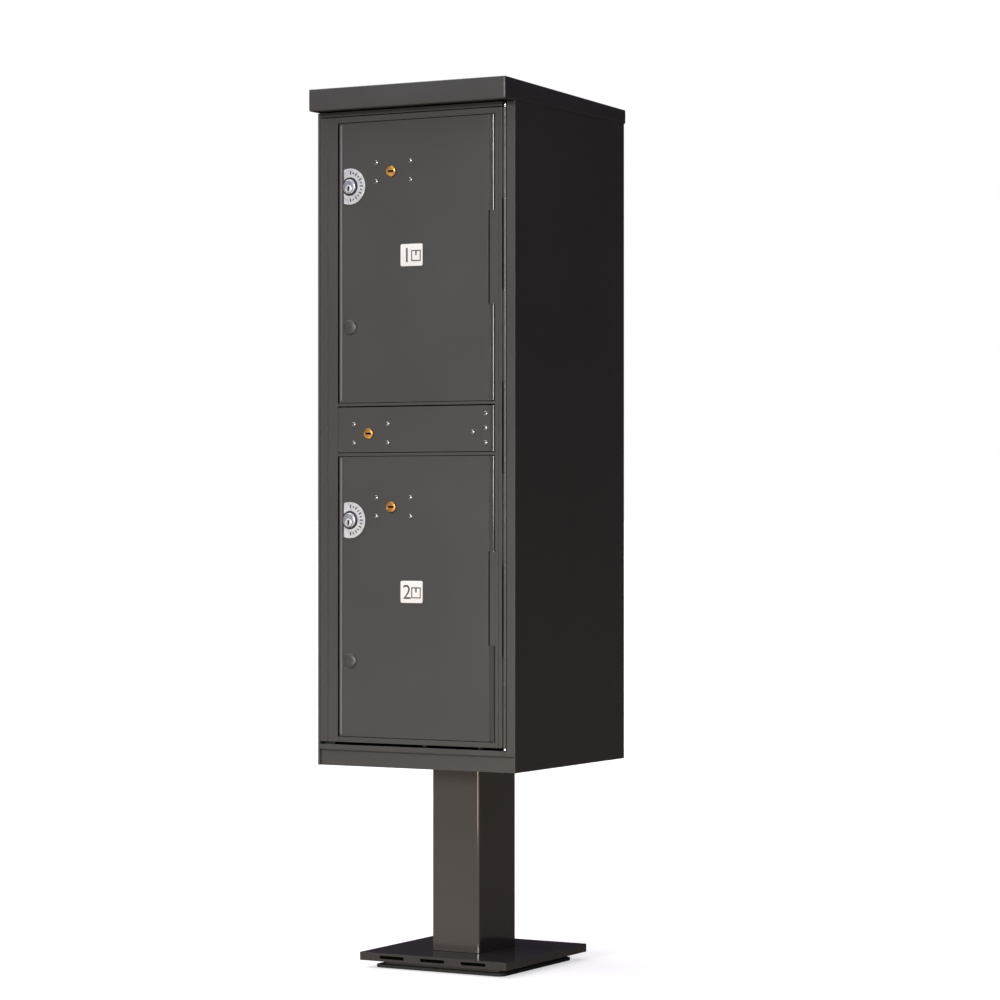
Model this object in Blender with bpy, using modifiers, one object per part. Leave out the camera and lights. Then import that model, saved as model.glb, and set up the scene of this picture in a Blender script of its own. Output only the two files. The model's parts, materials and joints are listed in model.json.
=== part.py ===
"""Two-door outdoor parcel locker, the cluster type, on a rectangular post.

Metres, +Z up, front towards -Y. The origin is on the ground under the middle of the base pad.
"""

import math

import bmesh
import bpy
from mathutils import Matrix, Vector

# ---- driving dimensions ----

MM = 0.001
GAP = 0.3 * MM

CABINET_WIDTH = 404 * MM
CABINET_DEPTH = 413.5 * MM
FRONT = -211 * MM                    # plane of the doors' faces
BACK = FRONT + CABINET_DEPTH
HALF_WIDTH = CABINET_WIDTH / 2
SHEET = 2.5 * MM
CABINET_BOTTOM = 367.5 * MM
BODY_TOP = 1535.1 * MM

ROOF_FRONT_TOP = 1574.8 * MM
ROOF_REAR_TOP = 1561.0 * MM
ROOF_HALF_WIDTH = 201 * MM
ROOF_FRONT_OVERHANG = 33.4 * MM
ROOF_REAR_OVERHANG = 9.8 * MM

PAD_SIDE = 265 * MM
PAD_TOP = 5.3 * MM
FOOT_SIDE = 236 * MM
BASE_WIDTH = 302.2 * MM
BASE_DEPTH = 303.3 * MM
BASE_BOTTOM = 14.0 * MM
BASE_TOP = 28.5 * MM
POST_WIDTH = 97.5 * MM
POST_DEPTH = 135.1 * MM
POST_WALL = 4 * MM

FLOOR_BOTTOM = 393.3 * MM
FLANGE_TOP = FLOOR_BOTTOM - 0.4 * MM
FLANGE_THICKNESS = 6.2 * MM
POST_TOP = FLANGE_TOP - FLANGE_THICKNESS - GAP

MASTER_BOTTOM = 410.2 * MM
MASTER_TOP = 1525.6 * MM
MASTER_LEFT = -196.9 * MM
OPENING_LEFT = -160.7 * MM           # inner edge of the left stile
OPENING_RIGHT = 161.9 * MM           # inner edge of the right stile
STILE_DEPTH = 18 * MM
STOP_LIP = 8 * MM

DOOR_HEIGHT = 498.6 * MM
UPPER_DOOR_BOTTOM = 1015.5 * MM
LOWER_DOOR_BOTTOM = 420.6 * MM
DOOR_LEFT = -156.6 * MM
FACE_RIGHT = 152.6 * MM              # right edge of the doors' and the lock strip's faces
DOOR_SHEET = 3 * MM
STRIP_BOTTOM = 927 * MM
STRIP_TOP = 1007 * MM

DOOR_AXIS_X = 156.8 * MM
MASTER_AXIS_X = 180.4 * MM
AXIS_DEPTH = 3.4 * MM                # hinge axes behind the front plane
BARREL_RADIUS = 3.2 * MM
PIN_RADIUS = 1.9 * MM
PIN_HOLE_RADIUS = 2.15 * MM
KNUCKLES = 7
KNUCKLE_GAP = 0.4 * MM

CUSTOMER_LOCK_X = -134.6 * MM
CUSTOMER_LOCK_Z = 385.7 * MM         # above the door's bottom edge
CORE_DROP = 4.3 * MM                 # key plug below the lock's centre
CARRIER_LOCK_X = -49.1 * MM
CARRIER_LOCK_Z = 409.2 * MM
NUMBER_PLATE_X = -6.4 * MM
NUMBER_PLATE_Z = 259.2 * MM
CAP_X = -134.6 * MM
CAP_Z = 134.7 * MM
MASTER_LOCK_X = -96.0 * MM
MASTER_LOCK_Z = 960.2 * MM

CASE_WIDTH = 92 * MM
CASE_HEIGHT = 50 * MM
CASE_BACK = 30 * MM                  # behind the front plane
CASE_SHIFT = 4.6 * MM                # case centre to the right of its plug
RIVET_SPACING = (70.4 * MM, 33.4 * MM)
BOLT_TRAVEL = 14 * MM
DRIVER_RADIUS = BOLT_TRAVEL / math.sqrt(2)
BOLT_FRONT = 22 * MM
BOLT_THICKNESS = 4 * MM

BRONZE = (0.082, 0.075, 0.067)
BRONZE_GLOSS = (0.075, 0.066, 0.056)
BRASS = (0.62, 0.33, 0.09)
BRIGHT_STEEL = (0.62, 0.64, 0.66)
ZINC_STEEL = (0.42, 0.43, 0.44)
BLACK_RUBBER = (0.015, 0.015, 0.015)
WHITE_PLATE = (0.9, 0.9, 0.9)


# ---- scene, materials and small helpers ----

for old in list(bpy.data.objects):
    bpy.data.objects.remove(old, do_unlink=True)

parts = bpy.data.collections.new("parcel_locker")
cutters = bpy.data.collections.new("cutters")
cutters.hide_render = True
bpy.context.scene.collection.children.link(parts)
bpy.context.scene.collection.children.link(cutters)


def material(name, colour, roughness, metallic):
    made = bpy.data.materials.new(name)
    made.use_nodes = True
    shader = made.node_tree.nodes["Principled BSDF"]
    shader.inputs["Base Color"].default_value = (*colour, 1)
    shader.inputs["Roughness"].default_value = roughness
    shader.inputs["Metallic"].default_value = metallic
    return made


powder_coat = material("bronze_powder_coat", BRONZE, 0.42, 0.0)
gloss_coat = material("gloss_bronze_coat", BRONZE_GLOSS, 0.2, 0.0)
brass = material("brass", BRASS, 0.3, 1.0)
bright_steel = material("bright_steel", BRIGHT_STEEL, 0.25, 1.0)
zinc_steel = material("zinc_plated_steel", ZINC_STEEL, 0.4, 1.0)
rubber = material("black_rubber", BLACK_RUBBER, 0.8, 0.0)
white_plastic = material("white_plastic", WHITE_PLATE, 0.35, 0.0)


def add(name, data, finish=None, place=(0, 0, 0)):
    """A part with a finish, or a cutter without one."""
    obj = bpy.data.objects.new(name, data)
    obj.location = place
    if finish is None:
        cutters.objects.link(obj)
        obj.hide_render = True
        obj.display_type = "WIRE"
    else:
        parts.objects.link(obj)
        data.materials.append(finish)
    return obj


def box(name, low, high, finish=None):
    """A block between two opposite corners."""
    low, high = Vector(low), Vector(high)
    mesh = bpy.data.meshes.new(name)
    block = bmesh.new()
    bmesh.ops.create_cube(block, size=1, matrix=Matrix.Diagonal((*(high - low), 1)))
    block.to_mesh(mesh)
    block.free()
    return add(name, mesh, finish, (low + high) / 2)


ALONG = {
    "X": Matrix.Rotation(math.pi / 2, 4, "Z") @ Matrix.Rotation(math.pi / 2, 4, "X"),
    "Y": Matrix.Rotation(math.pi / 2, 4, "X"),
    "Z": Matrix.Identity(4),
}


def rod(name, centre, radius, length, along="Z", finish=None, sides=24):
    """A round bar centred on a point."""
    mesh = bpy.data.meshes.new(name)
    bar = bmesh.new()
    bmesh.ops.create_cone(
        bar, cap_ends=True, segments=sides, radius1=radius, radius2=radius,
        depth=length, matrix=ALONG[along],
    )
    bar.to_mesh(mesh)
    bar.free()
    return add(name, mesh, finish, centre)


def realised(obj):
    """The object as a plain closed mesh, with its curve or modifiers applied."""
    bpy.context.view_layer.update()
    graph = bpy.context.evaluated_depsgraph_get()
    mesh = bpy.data.meshes.new_from_object(obj.evaluated_get(graph))
    weld = bmesh.new()
    weld.from_mesh(mesh)
    bmesh.ops.remove_doubles(weld, verts=weld.verts, dist=1e-6)
    weld.to_mesh(mesh)
    weld.free()
    name = obj.name
    finish = None if obj.name in cutters.objects else obj.data.materials[0]
    turned = obj.matrix_world.copy()
    bpy.data.objects.remove(obj)
    mesh.materials.clear()
    made = add(name, mesh, finish)
    made.name = name
    made.matrix_world = turned
    return made


def extrusion(name, outline, centre, length, along="Z", finish=None):
    """A flat outline drawn out along an axis.

    The outline is in (x, y) for Z, (y, z) for X and (x, z) for Y, measured from the centre.
    """
    curve = bpy.data.curves.new(name, "CURVE")
    curve.dimensions = "2D"
    curve.fill_mode = "BOTH"
    curve.extrude = length / 2
    line = curve.splines.new("POLY")
    line.points.add(len(outline) - 1)
    for point, (u, v) in zip(line.points, outline):
        point.co = (u, v, 0, 1)
    line.use_cyclic_u = True
    obj = add(name, curve, finish, centre)
    obj.rotation_euler = ALONG[along].to_euler()
    return realised(obj)


def turned(name, profile, centre, finish=None, sides=20):
    """A solid of revolution about Y. The profile is (radius, height), from front to back."""
    mesh = bpy.data.meshes.new(name)
    edges = [(i, i + 1) for i in range(len(profile) - 1)]
    mesh.from_pydata([(r, 0, h) for r, h in profile], edges, [])
    obj = add(name, mesh, finish, centre)
    obj.rotation_euler = ALONG["Y"].to_euler()
    screw = obj.modifiers.new("turn", "SCREW")
    screw.steps = sides
    screw.render_steps = sides
    screw.use_merge_vertices = True
    screw.merge_threshold = 0.00001
    return realised(obj)


def boolean(obj, operation, *others):
    for other in others:
        step = obj.modifiers.new(operation.lower(), "BOOLEAN")
        step.operation = operation
        step.object = other
        step.solver = "EXACT"
    return obj


def cut(obj, *others):
    return boolean(obj, "DIFFERENCE", *others)


def join(obj, *others):
    return boolean(obj, "UNION", *others)


def spread(obj, places):
    """Repeats a cutter or a piece to be joined. The places are shifts from its own."""
    mesh = obj.data
    copies = bmesh.new()
    for place in places:
        first = len(copies.verts)
        copies.from_mesh(mesh)
        copies.verts.ensure_lookup_table()
        shift = obj.matrix_world.to_3x3().inverted() @ Vector(place)
        bmesh.ops.translate(copies, verts=copies.verts[first:], vec=shift)
    copies.to_mesh(mesh)
    copies.free()
    return obj


def rounded_rectangle(width, height, radius, steps=4):
    """Points of a rectangle with round corners, centred on the origin."""
    points = []
    for quarter in range(4):
        turn = quarter * math.pi / 2
        side_u = 1 if quarter in (0, 3) else -1
        side_v = 1 if quarter in (0, 1) else -1
        for step in range(steps + 1):
            angle = turn + step / steps * math.pi / 2
            u = side_u * (width / 2 - radius) + radius * math.cos(angle)
            v = side_v * (height / 2 - radius) + radius * math.sin(angle)
            points.append((u, v))
    return points


def axis_empty(name, place, parent=None):
    empty = bpy.data.objects.new(name, None)
    empty.location = place
    empty.empty_display_size = 0.03
    parts.objects.link(empty)
    if parent is not None:
        ride(empty, parent)
    return empty


def ride(obj, parent):
    """Parents the object without moving it."""
    bpy.context.view_layer.update()
    obj.location = Vector(obj.location) - parent.matrix_world.translation
    obj.parent = parent
    return obj


# ---- pedestal ----

def make_pedestal():
    pad_outline = rounded_rectangle(PAD_SIDE, PAD_SIDE, 14 * MM)
    extrusion("base_pad", pad_outline, (0, 0, PAD_TOP / 2), PAD_TOP, "Z", rubber)
    foot_low = PAD_TOP + GAP
    foot_high = BASE_BOTTOM - GAP
    extrusion(
        "foot_plate", rounded_rectangle(FOOT_SIDE, FOOT_SIDE, 6 * MM),
        (0, 0, (foot_low + foot_high) / 2), foot_high - foot_low, "Z", powder_coat,
    )
    base = extrusion(
        "base_plate", rounded_rectangle(BASE_WIDTH, BASE_DEPTH, 1.5 * MM, 2),
        (0, 0, (BASE_BOTTOM + BASE_TOP) / 2), BASE_TOP - BASE_BOTTOM, "Z", gloss_coat,
    )
    cavity_height = 6 * MM
    for number, cavity_x in enumerate((-84 * MM, 0, 84 * MM), 1):
        outline = rounded_rectangle(51 * MM, cavity_height, cavity_height / 2, 3)
        centre = (cavity_x, 0, (BASE_BOTTOM + BASE_TOP) / 2)
        cut(base, extrusion(f"base_cavity_{number}", outline, centre, BASE_DEPTH + 4 * MM, "Y"))
    low = BASE_TOP + GAP
    centre = (0, 0, (low + POST_TOP) / 2)
    outside = rounded_rectangle(POST_WIDTH, POST_DEPTH, 4 * MM, 3)
    post = extrusion("post", outside, centre, POST_TOP - low, "Z", gloss_coat)
    inside = rounded_rectangle(POST_WIDTH - 2 * POST_WALL, POST_DEPTH - 2 * POST_WALL, 2 * MM, 2)
    cut(post, extrusion("post_bore", inside, centre, POST_TOP - low + 4 * MM))


def make_flange_studs(floor, flange):
    """Four threaded studs stand on the post's flange, pass up through the floor and carry their nuts."""
    places = [(side * 58 * MM, end * 80 * MM, 0) for side in (-1, 1) for end in (-1, 1)]
    holes = rod("floor_stud_holes", (0, 0, FLOOR_BOTTOM), 5.2 * MM, 30 * MM, sides=16)
    cut(floor, spread(holes, places))
    nut_bottom = FLOOR_BOTTOM + SHEET + GAP
    nut_top = nut_bottom + 6.4 * MM
    nut = rod("flange_nuts", (0, 0, (nut_bottom + nut_top) / 2), 9 * MM, nut_top - nut_bottom, sides=6)
    low = FLANGE_TOP - 3 * MM
    high = nut_top + 4 * MM
    stud = rod("flange_studs", (0, 0, (low + high) / 2), 4.7 * MM, high - low, sides=16)
    join(flange, spread(stud, places), spread(nut, places))


# ---- cabinet ----

def make_cabinet():
    inner = HALF_WIDTH - SHEET
    panel_inner = inner - GAP
    lip = 4.4 * MM
    middle = (CABINET_BOTTOM + BODY_TOP) / 2
    height = BODY_TOP - CABINET_BOTTOM
    left_outline = [
        (-HALF_WIDTH, FRONT), (-HALF_WIDTH + lip, FRONT), (-HALF_WIDTH + lip, FRONT + SHEET),
        (-inner, FRONT + SHEET), (-inner, BACK), (-HALF_WIDTH, BACK),
    ]
    extrusion("side_panel_left", left_outline, (0, 0, middle), height, "Z", powder_coat)

    flange_left = 185.3 * MM
    tab_left = 180.0 * MM
    flange_bottom = 396 * MM
    tab_top = 404.6 * MM
    right_outline = [
        (tab_left, FRONT), (HALF_WIDTH, FRONT), (HALF_WIDTH, BACK), (inner, BACK),
        (inner, FRONT + DOOR_SHEET), (tab_left, FRONT + DOOR_SHEET),
    ]
    right = extrusion("side_panel_right", right_outline, (0, 0, middle), height, "Z", powder_coat)
    front_side = FRONT - 2 * MM
    behind = FRONT + 5 * MM
    cut(
        right,
        box("flange_relief", (170 * MM, front_side, tab_top), (flange_left, behind, BODY_TOP + MM)),
        box("flange_foot", (170 * MM, front_side, CABINET_BOTTOM - MM), (inner, behind, flange_bottom)),
    )

    box(
        "back_panel", (-panel_inner, BACK - SHEET, CABINET_BOTTOM),
        (panel_inner, BACK, BODY_TOP), powder_coat,
    )
    inside_back = BACK - SHEET - GAP
    floor = box(
        "floor_panel", (-panel_inner, FRONT + 6.5 * MM, FLOOR_BOTTOM),
        (panel_inner, inside_back, FLOOR_BOTTOM + SHEET), powder_coat,
    )
    flange = box(
        "post_top_flange", (-72 * MM, -96 * MM, FLANGE_TOP - FLANGE_THICKNESS),
        (72 * MM, 96 * MM, FLANGE_TOP), gloss_coat,
    )
    make_flange_studs(floor, flange)
    box(
        "front_skirt", (-197.5 * MM, FRONT + 3.5 * MM, CABINET_BOTTOM),
        (198 * MM, FRONT + 6 * MM, FLOOR_BOTTOM + 0.4 * MM), powder_coat,
    )
    box(
        "top_panel", (-panel_inner, FRONT + 22.5 * MM, BODY_TOP - SHEET - GAP),
        (panel_inner, inside_back, BODY_TOP - GAP), powder_coat,
    )

    header_outline = [
        (0, 1527.2 * MM), (SHEET, 1527.2 * MM), (SHEET, BODY_TOP - SHEET),
        (22 * MM, BODY_TOP - SHEET), (22 * MM, BODY_TOP), (0, BODY_TOP),
    ]
    header_left, header_right = -197.3 * MM, 176.6 * MM
    header_centre = ((header_left + header_right) / 2, FRONT, 0)
    extrusion("header_rail", header_outline, header_centre, header_right - header_left, "X", powder_coat)
    sill_bottom = FLOOR_BOTTOM + SHEET + GAP
    sill_outline = [
        (0, sill_bottom), (22 * MM, sill_bottom), (22 * MM, sill_bottom + SHEET),
        (SHEET, sill_bottom + SHEET), (SHEET, 405.2 * MM), (0, 405.2 * MM),
    ]
    sill_right = 179.4 * MM
    sill_centre = ((header_left + sill_right) / 2, FRONT, 0)
    extrusion("sill_rail", sill_outline, sill_centre, sill_right - header_left, "X", powder_coat)

    jamb_front = FRONT + 18.6 * MM
    jamb_back = FRONT + 31 * MM
    jamb_outline = [
        (-panel_inner, jamb_front), (-178 * MM, jamb_front), (-178 * MM, jamb_front + SHEET),
        (-panel_inner + SHEET, jamb_front + SHEET), (-panel_inner + SHEET, jamb_back),
        (-panel_inner, jamb_back),
    ]
    low, high = 399.5 * MM, 1530 * MM
    extrusion("strike_jamb", jamb_outline, (0, 0, (low + high) / 2), high - low, "Z", powder_coat)

    make_shelf("upper_shelf", 1005.6 * MM, 990.6 * MM, inside_back)
    make_shelf("lower_shelf", 921.5 * MM, 933.5 * MM, inside_back)


def make_shelf(name, bottom, lip_end, inside_back):
    """A flat sheet with its front edge folded down or up to lip_end, notched round the jamb."""
    front = FRONT + 24 * MM
    top = bottom + SHEET
    if lip_end < bottom:
        outline = [
            (front, lip_end), (front + SHEET, lip_end), (front + SHEET, bottom),
            (inside_back, bottom), (inside_back, top), (front, top),
        ]
    else:
        outline = [
            (front, bottom), (inside_back, bottom), (inside_back, top),
            (front + SHEET, top), (front + SHEET, lip_end), (front, lip_end),
        ]
    half = HALF_WIDTH - SHEET - GAP
    shelf = extrusion(name, outline, (0, 0, 0), 2 * half, "X", powder_coat)
    notch_low = (-half - MM, front - MM, bottom - 20 * MM)
    notch_high = (-half + SHEET + GAP, FRONT + 31.3 * MM, top + 20 * MM)
    cut(shelf, box(f"{name}_notch", notch_low, notch_high))


def make_roof():
    front = FRONT - ROOF_FRONT_OVERHANG
    rear = BACK + ROOF_REAR_OVERHANG
    bottom = BODY_TOP + GAP
    outline = [(front, bottom), (rear, bottom), (rear, ROOF_REAR_TOP), (front, ROOF_FRONT_TOP)]
    hood = extrusion("roof_hood", outline, (0, 0, 0), 2 * ROOF_HALF_WIDTH, "X", powder_coat)
    cavity_outline = [
        (front + SHEET, bottom + SHEET), (rear - SHEET, bottom + SHEET),
        (rear - SHEET, ROOF_REAR_TOP - SHEET), (front + SHEET, ROOF_FRONT_TOP - SHEET),
    ]
    cavity_width = 2 * (ROOF_HALF_WIDTH - SHEET)
    cavity = extrusion("hood_cavity", cavity_outline, (0, 0, 0), cavity_width, "X")
    mouth = box(
        "hood_mouth", (-cavity_width / 2, FRONT + 3 * MM, bottom - MM),
        (cavity_width / 2, BACK - SHEET, bottom + 5 * MM),
    )
    cut(hood, cavity, mouth)


# ---- hinges ----

def knuckle_span(number):
    """Bottom and top of one knuckle of the long hinge."""
    pitch = (MASTER_TOP - MASTER_BOTTOM) / KNUCKLES
    low = MASTER_BOTTOM + number * pitch
    high = low + pitch
    if number > 0:
        low += KNUCKLE_GAP / 2
    if number < KNUCKLES - 1:
        high -= KNUCKLE_GAP / 2
    return low, high


def add_knuckles(leaf, numbers, web_left, web_right, bore):
    """Barrels on the master hinge's axis, each with a web to its leaf, bored for the pin."""
    for number in numbers:
        low, high = knuckle_span(number)
        centre = (MASTER_AXIS_X, FRONT + AXIS_DEPTH, (low + high) / 2)
        web = box(
            f"knuckle_web_{number}", (web_left, FRONT + 3.3 * MM, low),
            (web_right, FRONT + 5.2 * MM, high),
        )
        join(leaf, web, rod(f"knuckle_{number}", centre, BARREL_RADIUS, high - low, sides=20))
    cut(leaf, bore)


def make_master_hinge():
    length = MASTER_TOP - MASTER_BOTTOM
    middle = (MASTER_TOP + MASTER_BOTTOM) / 2
    centre = (MASTER_AXIS_X, FRONT + AXIS_DEPTH, middle)
    bore = rod("master_pin_bore", centre, PIN_HOLE_RADIUS, length + 10 * MM, sides=16)
    leaf = box(
        "master_hinge_leaf", (186.0 * MM, FRONT + DOOR_SHEET + GAP, MASTER_BOTTOM),
        (199 * MM, FRONT + DOOR_SHEET + GAP + 2.2 * MM, MASTER_TOP), powder_coat,
    )
    add_knuckles(leaf, range(1, KNUCKLES, 2), 182.4 * MM, 187 * MM, bore)

    pin_bottom, pin_top = 408.4 * MM, 1533.5 * MM
    pin = rod(
        "master_hinge_pin", (MASTER_AXIS_X, FRONT + AXIS_DEPTH, (pin_bottom + pin_top) / 2),
        PIN_RADIUS, pin_top - pin_bottom, "Z", bright_steel, 16,
    )
    head = rod("pin_head", (MASTER_AXIS_X, FRONT + AXIS_DEPTH, 407.2 * MM), 4 * MM, 3.2 * MM)
    tip = rod("pin_tip", (MASTER_AXIS_X, FRONT + AXIS_DEPTH, 1529.9 * MM), 2.6 * MM, 7.0 * MM, sides=16)
    join(pin, head, tip)
    return bore


# ---- master door ----

def make_master_frame(axis, bore):
    length = MASTER_TOP - MASTER_BOTTOM
    middle = (MASTER_TOP + MASTER_BOTTOM) / 2
    back = FRONT + STILE_DEPTH
    left_outline = [
        (MASTER_LEFT, FRONT), (OPENING_LEFT, FRONT), (OPENING_LEFT, back - SHEET),
        (OPENING_LEFT + STOP_LIP, back - SHEET), (OPENING_LEFT + STOP_LIP, back),
        (OPENING_LEFT - SHEET, back), (OPENING_LEFT - SHEET, FRONT + SHEET),
        (MASTER_LEFT + SHEET, FRONT + SHEET), (MASTER_LEFT + SHEET, back), (MASTER_LEFT, back),
    ]
    left = extrusion("master_stile_left", left_outline, (0, 0, middle), length, "Z", powder_coat)
    cut(left, groove("stile_groove", -181.2 * MM, middle, length))

    right_edge = 175.6 * MM
    right_outline = [
        (OPENING_RIGHT, FRONT), (right_edge, FRONT), (right_edge, back), (right_edge - SHEET, back),
        (right_edge - SHEET, FRONT + SHEET), (OPENING_RIGHT + SHEET, FRONT + SHEET),
        (OPENING_RIGHT + SHEET, back), (OPENING_RIGHT, back),
    ]
    right = extrusion("master_stile_right", right_outline, (0, 0, middle), length, "Z", powder_coat)
    cut(right, groove("right_groove", 168.7 * MM, middle, length))
    add_knuckles(right, range(0, KNUCKLES, 2), 174.5 * MM, 178.4 * MM, bore)

    rails = (
        ("master_rail_top", 1515.3 * MM, MASTER_TOP),
        ("master_rail_upper", 1009.4 * MM, 1014.4 * MM),
        ("master_rail_lower", 920.4 * MM, 925.6 * MM),
        ("master_rail_bottom", MASTER_BOTTOM, 419.4 * MM),
    )
    pieces = [left, right]
    for name, low, high in rails:
        corner = (OPENING_LEFT + GAP, FRONT, low)
        pieces.append(box(name, corner, (OPENING_RIGHT - GAP, FRONT + 13 * MM, high), powder_coat))

    gasket_low = (OPENING_LEFT + 0.5 * MM, back - SHEET - 2.2 * MM, MASTER_BOTTOM + 10 * MM)
    gasket_high = (OPENING_LEFT + STOP_LIP, back - SHEET - GAP, MASTER_TOP - 12 * MM)
    pieces.append(box("door_gasket", gasket_low, gasket_high, rubber))
    for piece in pieces:
        ride(piece, axis)


def groove(name, x, middle, length):
    """A narrow vertical slot in the front plane."""
    low = (x - 0.65 * MM, FRONT - MM, middle - length)
    return box(name, low, (x + 0.65 * MM, FRONT + 1.6 * MM, middle + length))


def make_lock_strip(axis):
    strip_left = OPENING_LEFT + 0.8 * MM
    outline = [
        (strip_left, FRONT), (FACE_RIGHT, FRONT), (FACE_RIGHT, FRONT + 1.9 * MM),
        (155 * MM, FRONT + 1.9 * MM), (155 * MM, FRONT + 4.9 * MM), (151 * MM, FRONT + 4.9 * MM),
        (151 * MM, FRONT + DOOR_SHEET), (strip_left, FRONT + DOOR_SHEET),
    ]
    middle = (STRIP_BOTTOM + STRIP_TOP) / 2
    height = STRIP_TOP - STRIP_BOTTOM
    strip = extrusion("lock_strip", outline, (0, 0, middle), height, "Z", powder_coat)
    centre = (DOOR_AXIS_X, FRONT + AXIS_DEPTH, middle)
    join(strip, rod("strip_barrel", centre, BARREL_RADIUS, height, sides=20))
    cut(strip, groove("strip_edge_groove", 150.3 * MM, middle, height))
    column = 143.4 * MM
    end_places = [(column, 992.7 * MM), (column, 967.4 * MM), (column, 942.1 * MM)]
    end_places.append((117.5 * MM, 960.7 * MM))
    bracket_front = DOOR_SHEET + GAP
    bracket_back = bracket_front + 2 * MM
    bracket_outline = [
        (108 * MM, bracket_front), (150.5 * MM, bracket_front), (150.5 * MM, 7.1 * MM),
        (161 * MM, 7.1 * MM), (161 * MM, 14 * MM), (159 * MM, 14 * MM), (159 * MM, 9.1 * MM),
        (148.5 * MM, 9.1 * MM), (148.5 * MM, bracket_back), (108 * MM, bracket_back),
    ]
    bracket = extrusion(
        "strip_bracket", bracket_outline, (0, FRONT, middle), height - 12 * MM, "Z", zinc_steel,
    )
    add_rivets(bracket, end_places, strip)
    for piece in (strip, bracket):
        ride(piece, axis)
    make_box_lock("master_lock", MASTER_LOCK_X, MASTER_LOCK_Z, -176.5 * MM, strip, axis)


def make_hinge_blocks(axis):
    """Each parcel door turns on a pin held by a block on the frame, beside the middle third of the door."""
    for side, bottom in (("upper", UPPER_DOOR_BOTTOM), ("lower", LOWER_DOOR_BOTTOM)):
        low, high = notch_span(bottom)
        block_low = (151.3 * MM, FRONT, low + GAP)
        block_high = (OPENING_RIGHT - GAP, FRONT + 7 * MM, high - GAP)
        block = box(f"{side}_hinge_block", block_low, block_high, powder_coat)
        centre = (DOOR_AXIS_X, FRONT + AXIS_DEPTH, bottom + DOOR_HEIGHT / 2)
        cut(block, rod(f"{side}_block_bore", centre, PIN_HOLE_RADIUS, DOOR_HEIGHT / 2, sides=16))
        pin = rod(f"{side}_hinge_pin", centre, PIN_RADIUS, DOOR_HEIGHT - MM, "Z", bright_steel, 16)
        ride(block, axis)
        ride(pin, axis)


def notch_span(bottom):
    """Bottom and top of the notch in a door's hinge edge, its middle third."""
    return bottom + 167.6 * MM, bottom + 331.9 * MM


# ---- locks ----

def rivet_places(x, z):
    """Centres of a box lock's four rivets."""
    across, up = RIVET_SPACING
    middle = x + CASE_SHIFT
    return [(middle + side * across / 2, z + end * up / 2) for side in (-1, 1) for end in (-1, 1)]


def add_rivets(plate, places, panel):
    """Dome-headed rivets through the panel, set in the plate behind it."""
    shifts = [(x, 0, z) for x, z in places]
    holes = rod(f"{plate.name}_rivet_holes", (0, FRONT, 0), 2.8 * MM, 16 * MM, "Y", sides=12)
    cut(panel, spread(holes, shifts))
    shank_end = -(DOOR_SHEET + GAP + 1.2 * MM)
    profile = [
        (0, 2.0 * MM), (2.3 * MM, 1.75 * MM), (3.9 * MM, 1.1 * MM), (4.7 * MM, GAP),
        (2.4 * MM, GAP), (2.4 * MM, shank_end), (0, shank_end),
    ]
    join(plate, spread(turned(f"{plate.name}_rivets", profile, (0, FRONT, 0), None, 12), shifts))


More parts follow.
